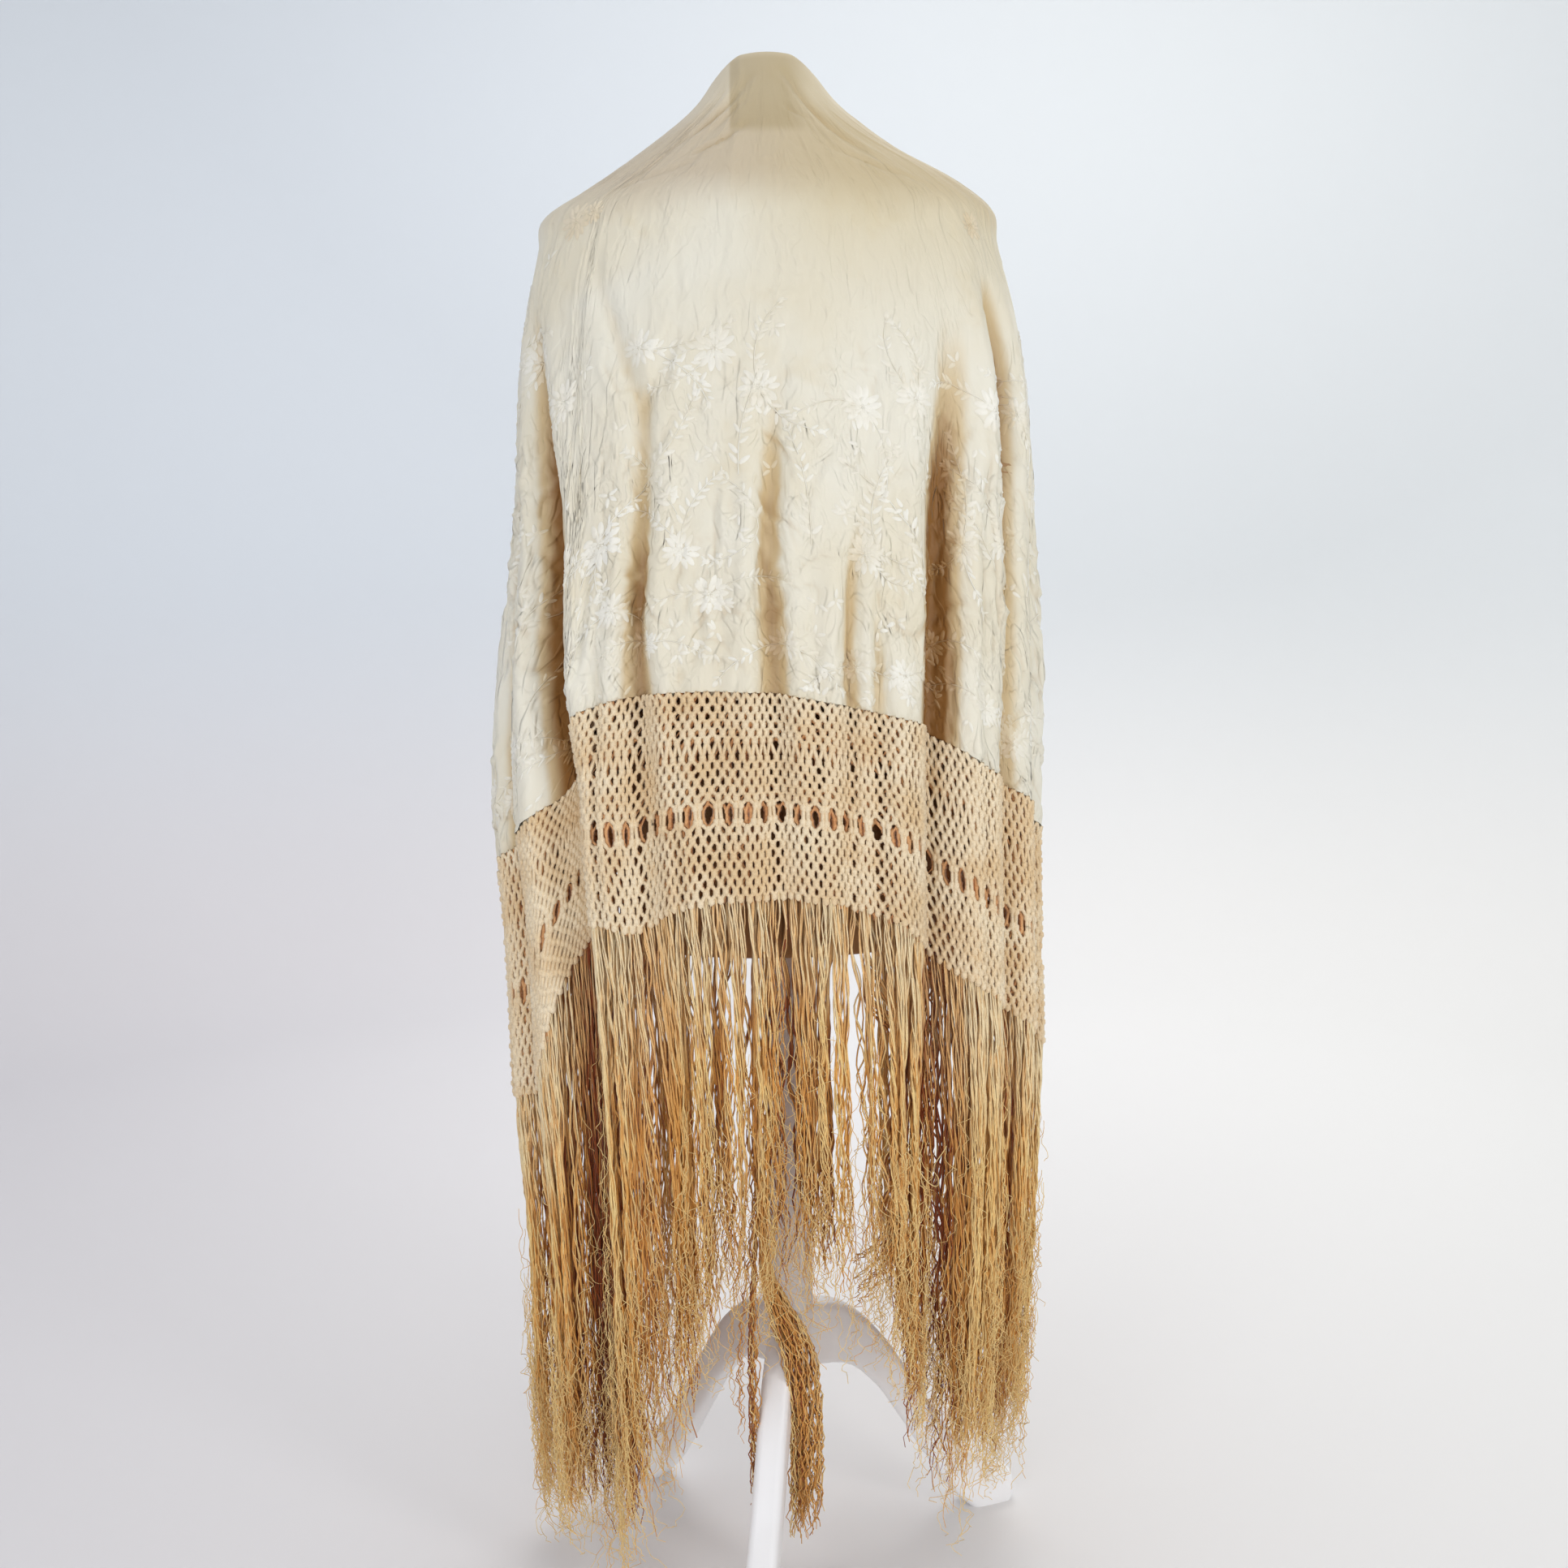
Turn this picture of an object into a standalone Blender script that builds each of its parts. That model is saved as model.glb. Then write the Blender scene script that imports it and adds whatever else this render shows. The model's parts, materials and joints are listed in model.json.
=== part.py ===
"""Piano shawl of embroidered silk, folded in half and hung over a dress form.

Metres, +Z up. The shawl's back faces -Y and its front opening faces +Y. Seen from the
back, +X is on the right. The cloth is a wall that follows one formula: rings round the
form at each height, pressed in by a short table of folds. The net and the fringe hang
on from the same formula.
"""
from collections import namedtuple
import math

import bmesh
import bpy
import numpy as np
from mathutils import Matrix, Vector

# Driving sizes of the shawl
WALL = 0.002             # the two silk layers as one wall
NET_WALL = 0.002
SEAM = 0.0004            # gap between pieces that meet
NECK_RIM = 1.430         # height of the fold at the nape
NECK_DROP = 0.040        # how much lower the fold is where it leaves the neck
SHOULDER = 1.287         # height of the shoulder tips
EDGE_ANGLE = 158.0       # where the front edges hang, in degrees from the middle of the back
NECK_ANGLE = 120.0       # where the front edges leave the neck
SPLIT_ANGLE = 78.0       # where the back stretch of cloth ends and the side stretches start

# Driving sizes of the net and the fringe
EYELET_PITCH = 0.0172    # one column of the wall for each large eyelet
EYELET_DROP = 0.105      # from the silk's edge to the middle of the eyelets
EYELET_SIZE = (0.0100, 0.0180)
TALL_MESH_DROP = 0.048   # from the silk's edge to the row of tall meshes
TALL_MESH_SIZE = (0.0080, 0.0140)
STRIP = 0.006            # height of the strip that the strands grow from
STRIP_SEAM = 0.0008      # gap between the net's end and the strip
STRIP_CLEAR = 0.003      # the strip stays under the net's end this far to each side
STRAND_PITCH = 0.0118
STRAND_WIDTH = 0.0046
STRAND_TIP = 0.55        # width of a strand's end, as a share of its root
CUT_ROW_SHARE = 0.6      # half height of a cut row's cells, as a share of its holes' height
UNDER_WALL = 0.0014
UNDER_GAP = 0.0006       # between the two nets at the silk's edge
UNDER_SPREAD = 0.006     # how much further in the under net hangs at its end
UNDER_NET_LONGER = 0.004
FLOOR_GAP = 0.012        # lowest end of any strand above the floor

# Driving sizes of the dress form and its stand
FORM_BOTTOM = 0.614
NECK_BLOCK_RADIUS = 0.033
NECK_BLOCK_FOOT = 1.360
NECK_BLOCK_TOP = 1.428
POLE_RADIUS = 0.0215
POLE_FOOT = 0.165
LEG_THICKNESS = 0.028
LEG_ANGLES = {"near": -101.0, "right": 19.0, "left": 139.0}
LEG_REACH = 0.236

# Half widths of the cloth round the form at each height
Section = namedtuple("Section", "height left right back front")
SECTIONS = (
    Section(1.432, 0.0345, 0.0345, 0.0355, 0.0300),
    Section(1.415, 0.0490, 0.0490, 0.0470, 0.0420),
    Section(1.393, 0.0650, 0.0660, 0.0590, 0.0560),
    Section(1.352, 0.1150, 0.1160, 0.0790, 0.0800),
    Section(1.310, 0.1730, 0.1820, 0.0960, 0.1000),
    Section(1.287, 0.2050, 0.2050, 0.1040, 0.1090),
    Section(1.260, 0.2110, 0.2090, 0.1120, 0.1180),
    Section(1.203, 0.2234, 0.2220, 0.1220, 0.1300),
    Section(1.150, 0.2300, 0.2310, 0.1280, 0.1370),
    Section(1.085, 0.2358, 0.2342, 0.1330, 0.1400),
    Section(0.980, 0.2433, 0.2358, 0.1380, 0.1400),
    Section(0.890, 0.2576, 0.2385, 0.1410, 0.1410),
    Section(0.800, 0.2667, 0.2390, 0.1430, 0.1420),
    Section(0.740, 0.2690, 0.2392, 0.1440, 0.1430),
    Section(0.650, 0.2630, 0.2400, 0.1440, 0.1430),
    Section(0.480, 0.2600, 0.2420, 0.1420, 0.1420),
    Section(0.300, 0.2580, 0.2370, 0.1380, 0.1400),
    Section(0.150, 0.2560, 0.2240, 0.1340, 0.1360),
    Section(0.000, 0.2460, 0.2120, 0.1300, 0.1320),
)

# Folds pressed into the cloth. Each starts to show at one height and is deepest at another
Fold = namedtuple("Fold", "angle width depth start full")
FOLDS = (
    Fold(-142.0, 6.0, 0.014, 1.18, 0.80),
    Fold(-124.0, 6.0, 0.026, 1.24, 0.85),
    Fold(-104.0, 5.5, 0.030, 1.22, 0.90),
    Fold(-69.0, 4.5, 0.009, 1.10, 0.72),
    Fold(-46.5, 4.2, 0.030, 1.22, 0.90),
    Fold(-27.8, 4.0, 0.011, 1.17, 0.86),
    Fold(0.6, 4.2, 0.008, 1.12, 0.84),
    Fold(14.9, 3.0, 0.009, 0.98, 0.80),
    Fold(22.0, 2.6, 0.005, 0.93, 0.80),
    Fold(39.5, 5.0, 0.030, 1.12, 0.88),
    Fold(62.0, 5.0, 0.012, 1.08, 0.74),
    Fold(100.0, 5.5, 0.028, 1.22, 0.90),
    Fold(121.0, 6.0, 0.026, 1.24, 0.85),
    Fold(141.0, 6.0, 0.014, 1.18, 0.80),
)

# Heights where the silk, the net and the strands end, round the shawl
Edge = namedtuple("Edge", "angle silk net strands")
EDGES = (
    Edge(-158.0, 0.800, 0.610, 0.215),
    Edge(-130.0, 0.710, 0.510, 0.110),
    Edge(-112.0, 0.650, 0.450, 0.055),
    Edge(-88.0, 0.690, 0.470, 0.085),
    Edge(-67.0, 0.721, 0.487, 0.120),
    Edge(-56.0, 0.746, 0.540, 0.100),
    Edge(-49.0, 0.766, 0.620, 0.080),
    Edge(-43.0, 0.840, 0.655, 0.076),
    Edge(-36.0, 0.850, 0.658, 0.095),
    Edge(-29.5, 0.856, 0.648, 0.130),
    Edge(-22.0, 0.859, 0.672, 0.240),
    Edge(-12.0, 0.860, 0.680, 0.305),
    Edge(0.0, 0.857, 0.681, 0.325),
    Edge(11.0, 0.848, 0.674, 0.305),
    Edge(24.0, 0.835, 0.654, 0.275),
    Edge(33.5, 0.825, 0.630, 0.190),
    Edge(41.0, 0.808, 0.602, 0.125),
    Edge(47.0, 0.790, 0.588, 0.130),
    Edge(58.5, 0.772, 0.565, 0.190),
    Edge(70.5, 0.754, 0.545, 0.150),
    Edge(90.0, 0.715, 0.505, 0.095),
    Edge(112.0, 0.650, 0.450, 0.055),
    Edge(130.0, 0.705, 0.505, 0.110),
    Edge(158.0, 0.805, 0.615, 0.220),
)

# Half widths of the dress form at each height
Ring = namedtuple("Ring", "height side back front")
FORM_RINGS = (
    Ring(0.614, 0.140, 0.088, 0.088),
    Ring(0.640, 0.152, 0.097, 0.098),
    Ring(0.720, 0.157, 0.101, 0.104),
    Ring(0.800, 0.152, 0.098, 0.104),
    Ring(0.900, 0.132, 0.090, 0.096),
    Ring(0.990, 0.118, 0.083, 0.088),
    Ring(1.070, 0.130, 0.088, 0.104),
    Ring(1.150, 0.150, 0.094, 0.116),
    Ring(1.215, 0.172, 0.094, 0.108),
    Ring(1.255, 0.196, 0.087, 0.094),
    Ring(1.278, 0.2037, 0.078, 0.082),
    Ring(1.289, 0.1900, 0.072, 0.074),
    Ring(1.303, 0.150, 0.067, 0.067),
    Ring(1.320, 0.100, 0.060, 0.060),
    Ring(1.338, 0.066, 0.052, 0.052),
    Ring(1.3597, 0.052, 0.047, 0.047),
)

# Side view of one leg: distance from the pole's axis and height, along its top and its sole
LegPoint = namedtuple("LegPoint", "reach height")
LEG_TOP = (
    LegPoint(0.0218, 0.262), LegPoint(0.045, 0.256), LegPoint(0.075, 0.232),
    LegPoint(0.105, 0.190), LegPoint(0.135, 0.137), LegPoint(0.165, 0.088),
    LegPoint(0.195, 0.054), LegPoint(0.220, 0.040), LegPoint(LEG_REACH, 0.030),
)
LEG_SOLE = (
    LegPoint(LEG_REACH + 0.004, 0.012), LegPoint(LEG_REACH, 0.000), LegPoint(0.190, 0.000),
    LegPoint(0.172, 0.018), LegPoint(0.145, 0.058), LegPoint(0.115, 0.108),
    LegPoint(0.085, 0.156), LegPoint(0.055, 0.186), LegPoint(0.0218, 0.192),
)

# Strands of the under layer that are gathered in a long lock behind the middle of the back
LockPoint = namedtuple("LockPoint", "x y height")
LOCK_COUNT = 8
LOCK_PITCH = 0.0068
LOCK_DEPTH = 0.0025
LOCK_PATH = (
    LockPoint(-0.012, -0.118, 0.480), LockPoint(-0.002, -0.100, 0.345),
    LockPoint(0.015, -0.082, 0.262), LockPoint(0.0205, -0.076, 0.170),
    LockPoint(0.021, -0.074, 0.040),
)


def clear_scene():
    for obj in list(bpy.data.objects):
        bpy.data.objects.remove(obj, do_unlink=True)


def curve_through(value, places, heights):
    """Smooth curve through a table's points, with the slopes of its neighbours."""
    places = np.asarray(places, float)
    heights = np.asarray(heights, float)
    slopes = np.gradient(heights, places)
    value = float(np.clip(value, places[0], places[-1]))
    k = int(np.clip(np.searchsorted(places, value) - 1, 0, len(places) - 2))
    span = places[k + 1] - places[k]
    f = (value - places[k]) / span
    return ((2 * f**3 - 3 * f**2 + 1) * heights[k] + (f**3 - 2 * f**2 + f) * span * slopes[k]
            + (3 * f**2 - 2 * f**3) * heights[k + 1] + (f**3 - f**2) * span * slopes[k + 1])


def ease(f):
    f = min(max(f, 0.0), 1.0)
    return f * f * (3.0 - 2.0 * f)


SECTION_HEIGHTS = [row.height for row in reversed(SECTIONS)]
SECTION_COLUMNS = {name: [getattr(row, name) for row in reversed(SECTIONS)]
                   for name in ("left", "right", "back", "front")}
EDGE_PLACES = [row.angle for row in EDGES]


def half_width(side, height):
    return curve_through(height, SECTION_HEIGHTS, SECTION_COLUMNS[side])


def edge_height(angle, name):
    return float(np.interp(angle, EDGE_PLACES, [getattr(row, name) for row in EDGES]))


def spread(height):
    """Angle of the front edges at this height, as a share of their angle lower down."""
    opened = ease((NECK_RIM - height) / (NECK_RIM - 1.20))
    return (NECK_ANGLE + (EDGE_ANGLE - NECK_ANGLE) * opened) / EDGE_ANGLE


def fold_depth(angle, height):
    depth = 0.0
    for fold in FOLDS:
        grown = ease((fold.start - height) / (fold.start - fold.full))
        depth += fold.depth * grown * math.exp(-((angle - fold.angle) / fold.width) ** 2)
    return depth


def cloth_outline(angle, height):
    """Outer face of the cloth, as x and y."""
    turn = math.radians(angle * spread(height))
    side = half_width("right" if angle > 0 else "left", height)
    deep = half_width("back" if math.cos(turn) > 0 else "front", height)
    place = np.array([side * math.sin(turn), -deep * math.cos(turn)])
    outward = np.array([deep * math.sin(turn), -side * math.cos(turn)])
    return place - outward / np.linalg.norm(outward) * fold_depth(angle, height)


def cloth_point(angle, height, inward=0.0, along=0.0):
    """A point of the cloth, moved in from its outer face and along its ring."""
    step = 0.15
    run = cloth_outline(angle + step, height) - cloth_outline(angle - step, height)
    run /= np.linalg.norm(run)
    inner = np.array([-run[1], run[0]])
    place = cloth_outline(angle, height) + inner * inward + run * along
    return Vector((place[0], place[1], height))


def slope_factor(angle, height):
    """How much wider a level cut through the wall is where the cloth slopes."""
    step = 0.004
    above = np.linalg.norm(cloth_outline(angle, height + step))
    below = np.linalg.norm(cloth_outline(angle, height - step))
    return math.hypot(1.0, (below - above) / (2 * step))


class HemLine:
    """Places round the silk's lower edge, by distance along it."""

    def __init__(self, samples=3161):
        self.angles = np.linspace(-EDGE_ANGLE, EDGE_ANGLE, samples)
        points = [cloth_point(a, edge_height(a, "silk")) for a in self.angles]
        runs = [(q - p).length for p, q in zip(points, points[1:])]
        self.runs = np.concatenate([[0.0], np.cumsum(runs)])
        self.length = float(self.runs[-1])

    def angle_at(self, run):
        return float(np.interp(run, self.runs, self.angles))

    def run_at(self, angle):
        return float(np.interp(angle, self.angles, self.runs))


HEM = HemLine()
STRETCHES = {
    "left": (-EDGE_ANGLE, -SPLIT_ANGLE),
    "back": (-SPLIT_ANGLE, SPLIT_ANGLE),
    "right": (SPLIT_ANGLE, EDGE_ANGLE),
}


def stretch_columns(name, pitch):
    """Angles of a stretch's columns, evenly spaced along the hem, and their shift at seams."""
    first, last = (HEM.run_at(a) for a in STRETCHES[name])
    count = max(int(round((last - first) / pitch)), 2)
    angles = [HEM.angle_at(run) for run in np.linspace(first, last, count + 1)]
    shifts = [0.0] * (count + 1)
    if name != "left":
        shifts[0] = SEAM / 2
    if name != "right":
        shifts[-1] = -SEAM / 2
    return angles, shifts


def material(name, colour, roughness, metallic=0.0):
    made = bpy.data.materials.new(name)
    made.use_nodes = True
    shader = made.node_tree.nodes["Principled BSDF"]
    shader.inputs["Base Color"].default_value = (*colour, 1.0)
    shader.inputs["Roughness"].default_value = roughness
    shader.inputs["Metallic"].default_value = metallic
    return made


def finish_object(name, mesh_builder, finish, parent, smooth_below=50.0):
    """Writes a bmesh to a named object with its faces outwards."""
    bmesh.ops.recalc_face_normals(mesh_builder, faces=mesh_builder.faces[:])
    mesh = bpy.data.meshes.new(name)
    mesh_builder.to_mesh(mesh)
    mesh_builder.free()
    mesh.shade_smooth()
    mesh.set_sharp_from_angle(angle=math.radians(smooth_below))
    mesh.materials.append(finish)
    obj = bpy.data.objects.new(name, mesh)
    bpy.context.scene.collection.objects.link(obj)
    obj.parent = parent
    return obj


def cut_wall(outer, inner, holes):
    """Closed wall between two grids of points. holes maps a cell to its hole's share of it."""
    bm = bmesh.new()
    faces = [[[bm.verts.new(p) for p in row] for row in grid] for grid in (outer, inner)]
    rows, columns = len(outer), len(outer[0])

    def inset(grid, r, c, share):
        corners = [grid[r][c].co, grid[r][c + 1].co, grid[r + 1][c + 1].co, grid[r + 1][c].co]
        wide, tall = share
        marks = []
        for fu, fv in ((-1, -1), (1, -1), (1, 1), (-1, 1)):
            u, v = 0.5 + fu * wide / 2, 0.5 + fv * tall / 2
            upper = corners[0].lerp(corners[1], u)
            lower = corners[3].lerp(corners[2], u)
            marks.append(bm.verts.new(upper.lerp(lower, v)))
        return marks

    for r in range(rows - 1):
        for c in range(columns - 1):
            share = holes.get((r, c))
            rims = []
            for grid in faces:
                ring = [grid[r][c], grid[r][c + 1], grid[r + 1][c + 1], grid[r + 1][c]]
                if share is None:
                    bm.faces.new(ring)
                    continue
                marks = inset(grid, r, c, share)
                rims.append(marks)
                for k in range(4):
                    bm.faces.new((ring[k], ring[(k + 1) % 4], marks[(k + 1) % 4], marks[k]))
            if rims:
                for k in range(4):
                    bm.faces.new((rims[0][k], rims[0][(k + 1) % 4], rims[1][(k + 1) % 4], rims[1][k]))
    out, inn = faces
    for r in range(rows - 1):
        for c in (0, columns - 1):
            bm.faces.new((out[r][c], out[r + 1][c], inn[r + 1][c], inn[r][c]))
    for c in range(columns - 1):
        for r in (0, rows - 1):
            bm.faces.new((out[r][c], out[r][c + 1], inn[r][c + 1], inn[r][c]))
    return bm


def silk_stretch(name, finish, parent):
    """One stretch of the doubled silk, from the neck over the shoulders down to its edge."""
    angles, shifts = stretch_columns(name, EYELET_PITCH)
    tent = (0.0, 0.35, 0.70, 1.0)
    hanging = (0.05, 0.14, 0.28, 0.42, 0.56, 0.70, 0.85, 1.0)
    outer, inner = [], []
    for part, shares in (("tent", tent), ("hanging", hanging)):
        for share in shares:
            outer_row, inner_row = [], []
            for angle, shift in zip(angles, shifts):
                rim = NECK_RIM - NECK_DROP * ease((abs(angle) - 45.0) / (EDGE_ANGLE - 45.0))
                top, bottom = (rim, SHOULDER) if part == "tent" else (SHOULDER, edge_height(angle, "silk"))
                height = top + (bottom - top) * share
                thick = WALL * slope_factor(angle, height)
                outer_row.append(cloth_point(angle, height, 0.0, shift))
                inner_row.append(cloth_point(angle, height, thick, shift))
            outer.append(outer_row)
            inner.append(inner_row)
    return finish_object(f"silk_{name}", cut_wall(outer, inner, {}), finish, parent)


def net_rows(angle):
    """Heights of the net's rows at this angle: its top, both sides of each cut row, its end."""
    top = edge_height(angle, "silk") - SEAM
    rows = [top]
    for drop, tall in ((TALL_MESH_DROP, TALL_MESH_SIZE[1]), (EYELET_DROP, EYELET_SIZE[1])):
        rows += [top - drop + tall * CUT_ROW_SHARE, top - drop - tall * CUT_ROW_SHARE]
    return rows + [edge_height(angle, "net")]


def net_stretch(name, finish, parent):
    """One stretch of the knotted net, with its row of large eyelets and its tall meshes cut."""
    angles, shifts = stretch_columns(name, EYELET_PITCH)
    rows = [net_rows(angle) for angle in angles]
    outer, inner = [], []
    for r in range(len(rows[0])):
        for grid, inward in ((outer, 0.0), (inner, NET_WALL)):
            grid.append([cloth_point(a, z[r], inward, s) for a, z, s in zip(angles, rows, shifts)])
    holes = {}
    for c in range(len(angles) - 1):
        for r, (wide, tall) in ((1, TALL_MESH_SIZE), (3, EYELET_SIZE)):
            width = (outer[r][c] - outer[r][c + 1]).length
            holes[(r, c)] = (min(wide / width, 0.7), 0.5 / CUT_ROW_SHARE)
    return finish_object(f"net_{name}", cut_wall(outer, inner, holes), finish, parent)


def under_net_stretch(name, finish, parent):
    """The net of the shawl's under half, just inside the outer one."""
    angles, shifts = stretch_columns(name, EYELET_PITCH)
    outer, inner = [], []
    for row, spread_share in ((0, 0.0), (2, 0.5), (5, 1.0)):
        longer = UNDER_NET_LONGER * spread_share
        inward = NET_WALL + UNDER_GAP + UNDER_SPREAD * spread_share
        for grid, thick in ((outer, 0.0), (inner, UNDER_WALL)):
            grid.append([cloth_point(a, net_rows(a)[row] - longer, inward + thick, s)
                         for a, s in zip(angles, shifts)])
    return finish_object(f"under_net_{name}", cut_wall(outer, inner, {}), finish, parent)


def strand_length_change(index):
    """Uneven strand ends that repeat on each build."""
    return 0.5 + 0.5 * math.sin(index * 2.399 + 1.3 * math.sin(index * 0.71))


def over_a_leg(place):
    """Lowest height that a strand may reach at this place, over the legs of the stand."""
    lowest = FLOOR_GAP
    for angle in LEG_ANGLES.values():
        turn = math.radians(angle)
        reach = place.x * math.cos(turn) + place.y * math.sin(turn)
        aside = abs(place.y * math.cos(turn) - place.x * math.sin(turn))
        if 0.0 < reach < LEG_REACH + 0.012 and aside < LEG_THICKNESS / 2 + 0.008:
            tops = np.interp(reach, [p.reach for p in LEG_TOP], [p.height for p in LEG_TOP])
            lowest = max(lowest, float(tops) + 0.008)
    return lowest


def faceted_point(columns, run, height, inward):
    """A point of the net's own flat faces, between two of its columns."""
    k = int(np.clip(np.searchsorted(columns, run) - 1, 0, len(columns) - 2))
    share = (run - columns[k]) / (columns[k + 1] - columns[k])
    sides = [cloth_point(HEM.angle_at(columns[j]), height, inward) for j in (k, k + 1)]
    return sides[0].lerp(sides[1], share)


def strip_tops(columns, runs, longer):
    """Heights of a strip's top, just under the straight runs of the net's end."""
    ends = [edge_height(HEM.angle_at(run), "net") - longer - STRIP_SEAM for run in columns]
    beside = (-STRIP_CLEAR, 0.0, STRIP_CLEAR)
    tops = [min(float(np.interp(run + aside, columns, ends)) for aside in beside) for run in runs]
    for k in range(len(runs) - 1):
        for run, end in zip(columns, ends):
            if runs[k] < run < runs[k + 1]:
                share = (run - runs[k]) / (runs[k + 1] - runs[k])
                excess = tops[k] * (1 - share) + tops[k + 1] * share - end
                tops[k] -= max(excess, 0.0)
                tops[k + 1] -= max(excess, 0.0)
    return tops


def even_runs(stretch, pitch):
    """Places along a stretch's hem, evenly spaced and centred on it."""
    first, last = (HEM.run_at(a) for a in STRETCHES[stretch])
    count = int((last - first - STRAND_WIDTH) / pitch)
    start = (first + last - (count - 1) * pitch) / 2
    return [start + k * pitch for k in range(count)]


def column_runs(stretch):
    return [HEM.run_at(a) for a in stretch_columns(stretch, EYELET_PITCH)[0]]


def fringe_comb(name, stretch, runs, inward, strand_ends, segments, finish, parent):
    """A narrow strip under the net's end, with strands drawn down from its lower face."""
    stations = []
    for k, run in enumerate(runs):
        stations.append((run - STRAND_WIDTH / 2, k))
        stations.append((run + STRAND_WIDTH / 2, None))
    bm = bmesh.new()
    rings = []
    columns = column_runs(stretch)
    tops = strip_tops(columns, [run for run, _ in stations], UNDER_NET_LONGER if inward else 0.0)
    for (run, _), top in zip(stations, tops):
        corners = [(top, inward), (top, inward + NET_WALL), (top - STRIP, inward + NET_WALL),
                   (top - STRIP, inward)]
        rings.append([bm.verts.new(faceted_point(columns, run, z, d)) for z, d in corners])
    roots = []
    for (run, strand), ring, following in zip(stations, rings, rings[1:]):
        for k in range(4):
            face = bm.faces.new((ring[k], ring[(k + 1) % 4], following[(k + 1) % 4], following[k]))
            if k == 2 and strand is not None:
                roots.append((strand, run + STRAND_WIDTH / 2, face))
    bm.faces.new(rings[0])
    bm.faces.new(rings[-1])
    for strand, run, face in roots:
        angle = HEM.angle_at(run)
        root = face.calc_center_median()
        end = strand_ends(angle, strand)
        for path_point in strand_path(root, angle, inward, end, segments):
            face = draw_down(bm, face, path_point, STRAND_TIP ** (1.0 / segments))
    return finish_object(name, bm, finish, parent, 80.0)


def strand_path(root, angle, inward, end, segments):
    """Points that a strand's core passes on its way down."""
    if isinstance(end, tuple):
        lock_index, lowest = end
        aside = (lock_index - (LOCK_COUNT - 1) / 2) * LOCK_PITCH
        back = LOCK_DEPTH * (-1) ** lock_index
        points = []
        for step, station in enumerate(LOCK_PATH):
            gather = 0.72 - 0.07 * step
            points.append(Vector((station.x + aside * gather, station.y + back, station.height)))
        points[-1].z = lowest
        return points
    reach = cloth_point(angle, max(end, 0.0), inward + NET_WALL / 2)
    limit = max(end, over_a_leg(reach))
    points = []
    for k in range(1, segments + 1):
        height = root.z + (limit - root.z) * k / segments
        place = cloth_point(angle, height, inward + NET_WALL / 2)
        points.append(Vector((place.x, place.y, height)))
    return points


def draw_down(bm, face, place, narrow):
    """Extrudes one face to a new place and narrows it, and gives the new face."""
    made = bmesh.ops.extrude_discrete_faces(bm, faces=[face])["faces"][0]
    centre = made.calc_center_median()
    level = Matrix.Diagonal((narrow, narrow, 0.0, 1.0))
    to_origin = Matrix.Translation(-centre)
    to_place = Matrix.Translation(place)
    bmesh.ops.transform(bm, matrix=to_place @ level @ to_origin, verts=made.verts[:])
    return made


def outer_end(angle, index):
    """Height of an outer strand's end, by its place round the shawl."""
    return edge_height(angle, "strands") + 0.035 * strand_length_change(index) - 0.010


def under_end(angle, index):
    """Height of an under strand's end. The lock's strands give their place in it instead."""
    lock_start = -7.0
    if lock_start < angle < lock_start + 18.0 and LOCK_ORDER.get(index) is None:
        if len(LOCK_ORDER) < LOCK_COUNT:
            LOCK_ORDER[index] = len(LOCK_ORDER)
    if index in LOCK_ORDER and abs(angle) < 30.0:
        return LOCK_ORDER[index], 0.040 + 0.03 * strand_length_change(index)
    return edge_height(angle, "strands") + 0.02 + 0.06 * strand_length_change(index + 5)


LOCK_ORDER = {}


def loft(rings):
    """Closed body through rings of points, with flat ends."""
    bm = bmesh.new()
    loops = [[bm.verts.new(p) for p in ring] for ring in rings]
    for lower, upper in zip(loops, loops[1:]):
        count = len(lower)
        for k in range(count):
            bm.faces.new((lower[k], lower[(k + 1) % count], upper[(k + 1) % count], upper[k]))
    bm.faces.new(loops[0])
    bm.faces.new(loops[-1])
    return bm


def form_torso(finish, parent):
    """Limbless dress form, smooth all over, with a short neck."""
    sides = 28
    rings = []
    for row in FORM_RINGS:
        ring = []
        for k in range(sides):
            turn = 2 * math.pi * k / sides
            deep = row.back if math.cos(turn) > 0 else row.front
            ring.append((row.side * math.sin(turn), -deep * math.cos(turn), row.height))
        rings.append(ring)
    return finish_object("form_torso", loft(rings), finish, parent)


def turned(name, radius, foot, top, finish, parent, bevel=0.002):
    """Round bar with eased ends."""
    bm = bmesh.new()
    bmesh.ops.create_cone(bm, cap_ends=True, segments=24, radius1=radius, radius2=radius, depth=top - foot)
    bmesh.ops.translate(bm, verts=bm.verts[:], vec=(0, 0, (top + foot) / 2))
    ends = [e for e in bm.edges if abs(e.verts[0].co.z - e.verts[1].co.z) < 1e-6]
    bmesh.ops.bevel(bm, geom=ends, offset=bevel, segments=1, affect='EDGES')
    return finish_object(name, bm, finish, parent)


def stand_leg(name, angle, finish, parent):
    """One curved leg, cut from a board and standing on its flat foot."""
    outline = [(p.reach, p.height) for p in LEG_TOP + LEG_SOLE]
    bm = bmesh.new()
    board = bm.faces.new([bm.verts.new((reach, -LEG_THICKNESS / 2, height)) for reach, height in outline])
    made = bmesh.ops.extrude_face_region(bm, geom=[board])["geom"]
    lifted = [v for v in made if isinstance(v, bmesh.types.BMVert)]
    bmesh.ops.translate(bm, verts=lifted, vec=(0, LEG_THICKNESS, 0))
    obj = finish_object(name, bm, finish, parent)
    obj.rotation_euler = (0, 0, math.radians(angle))
    return obj


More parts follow.
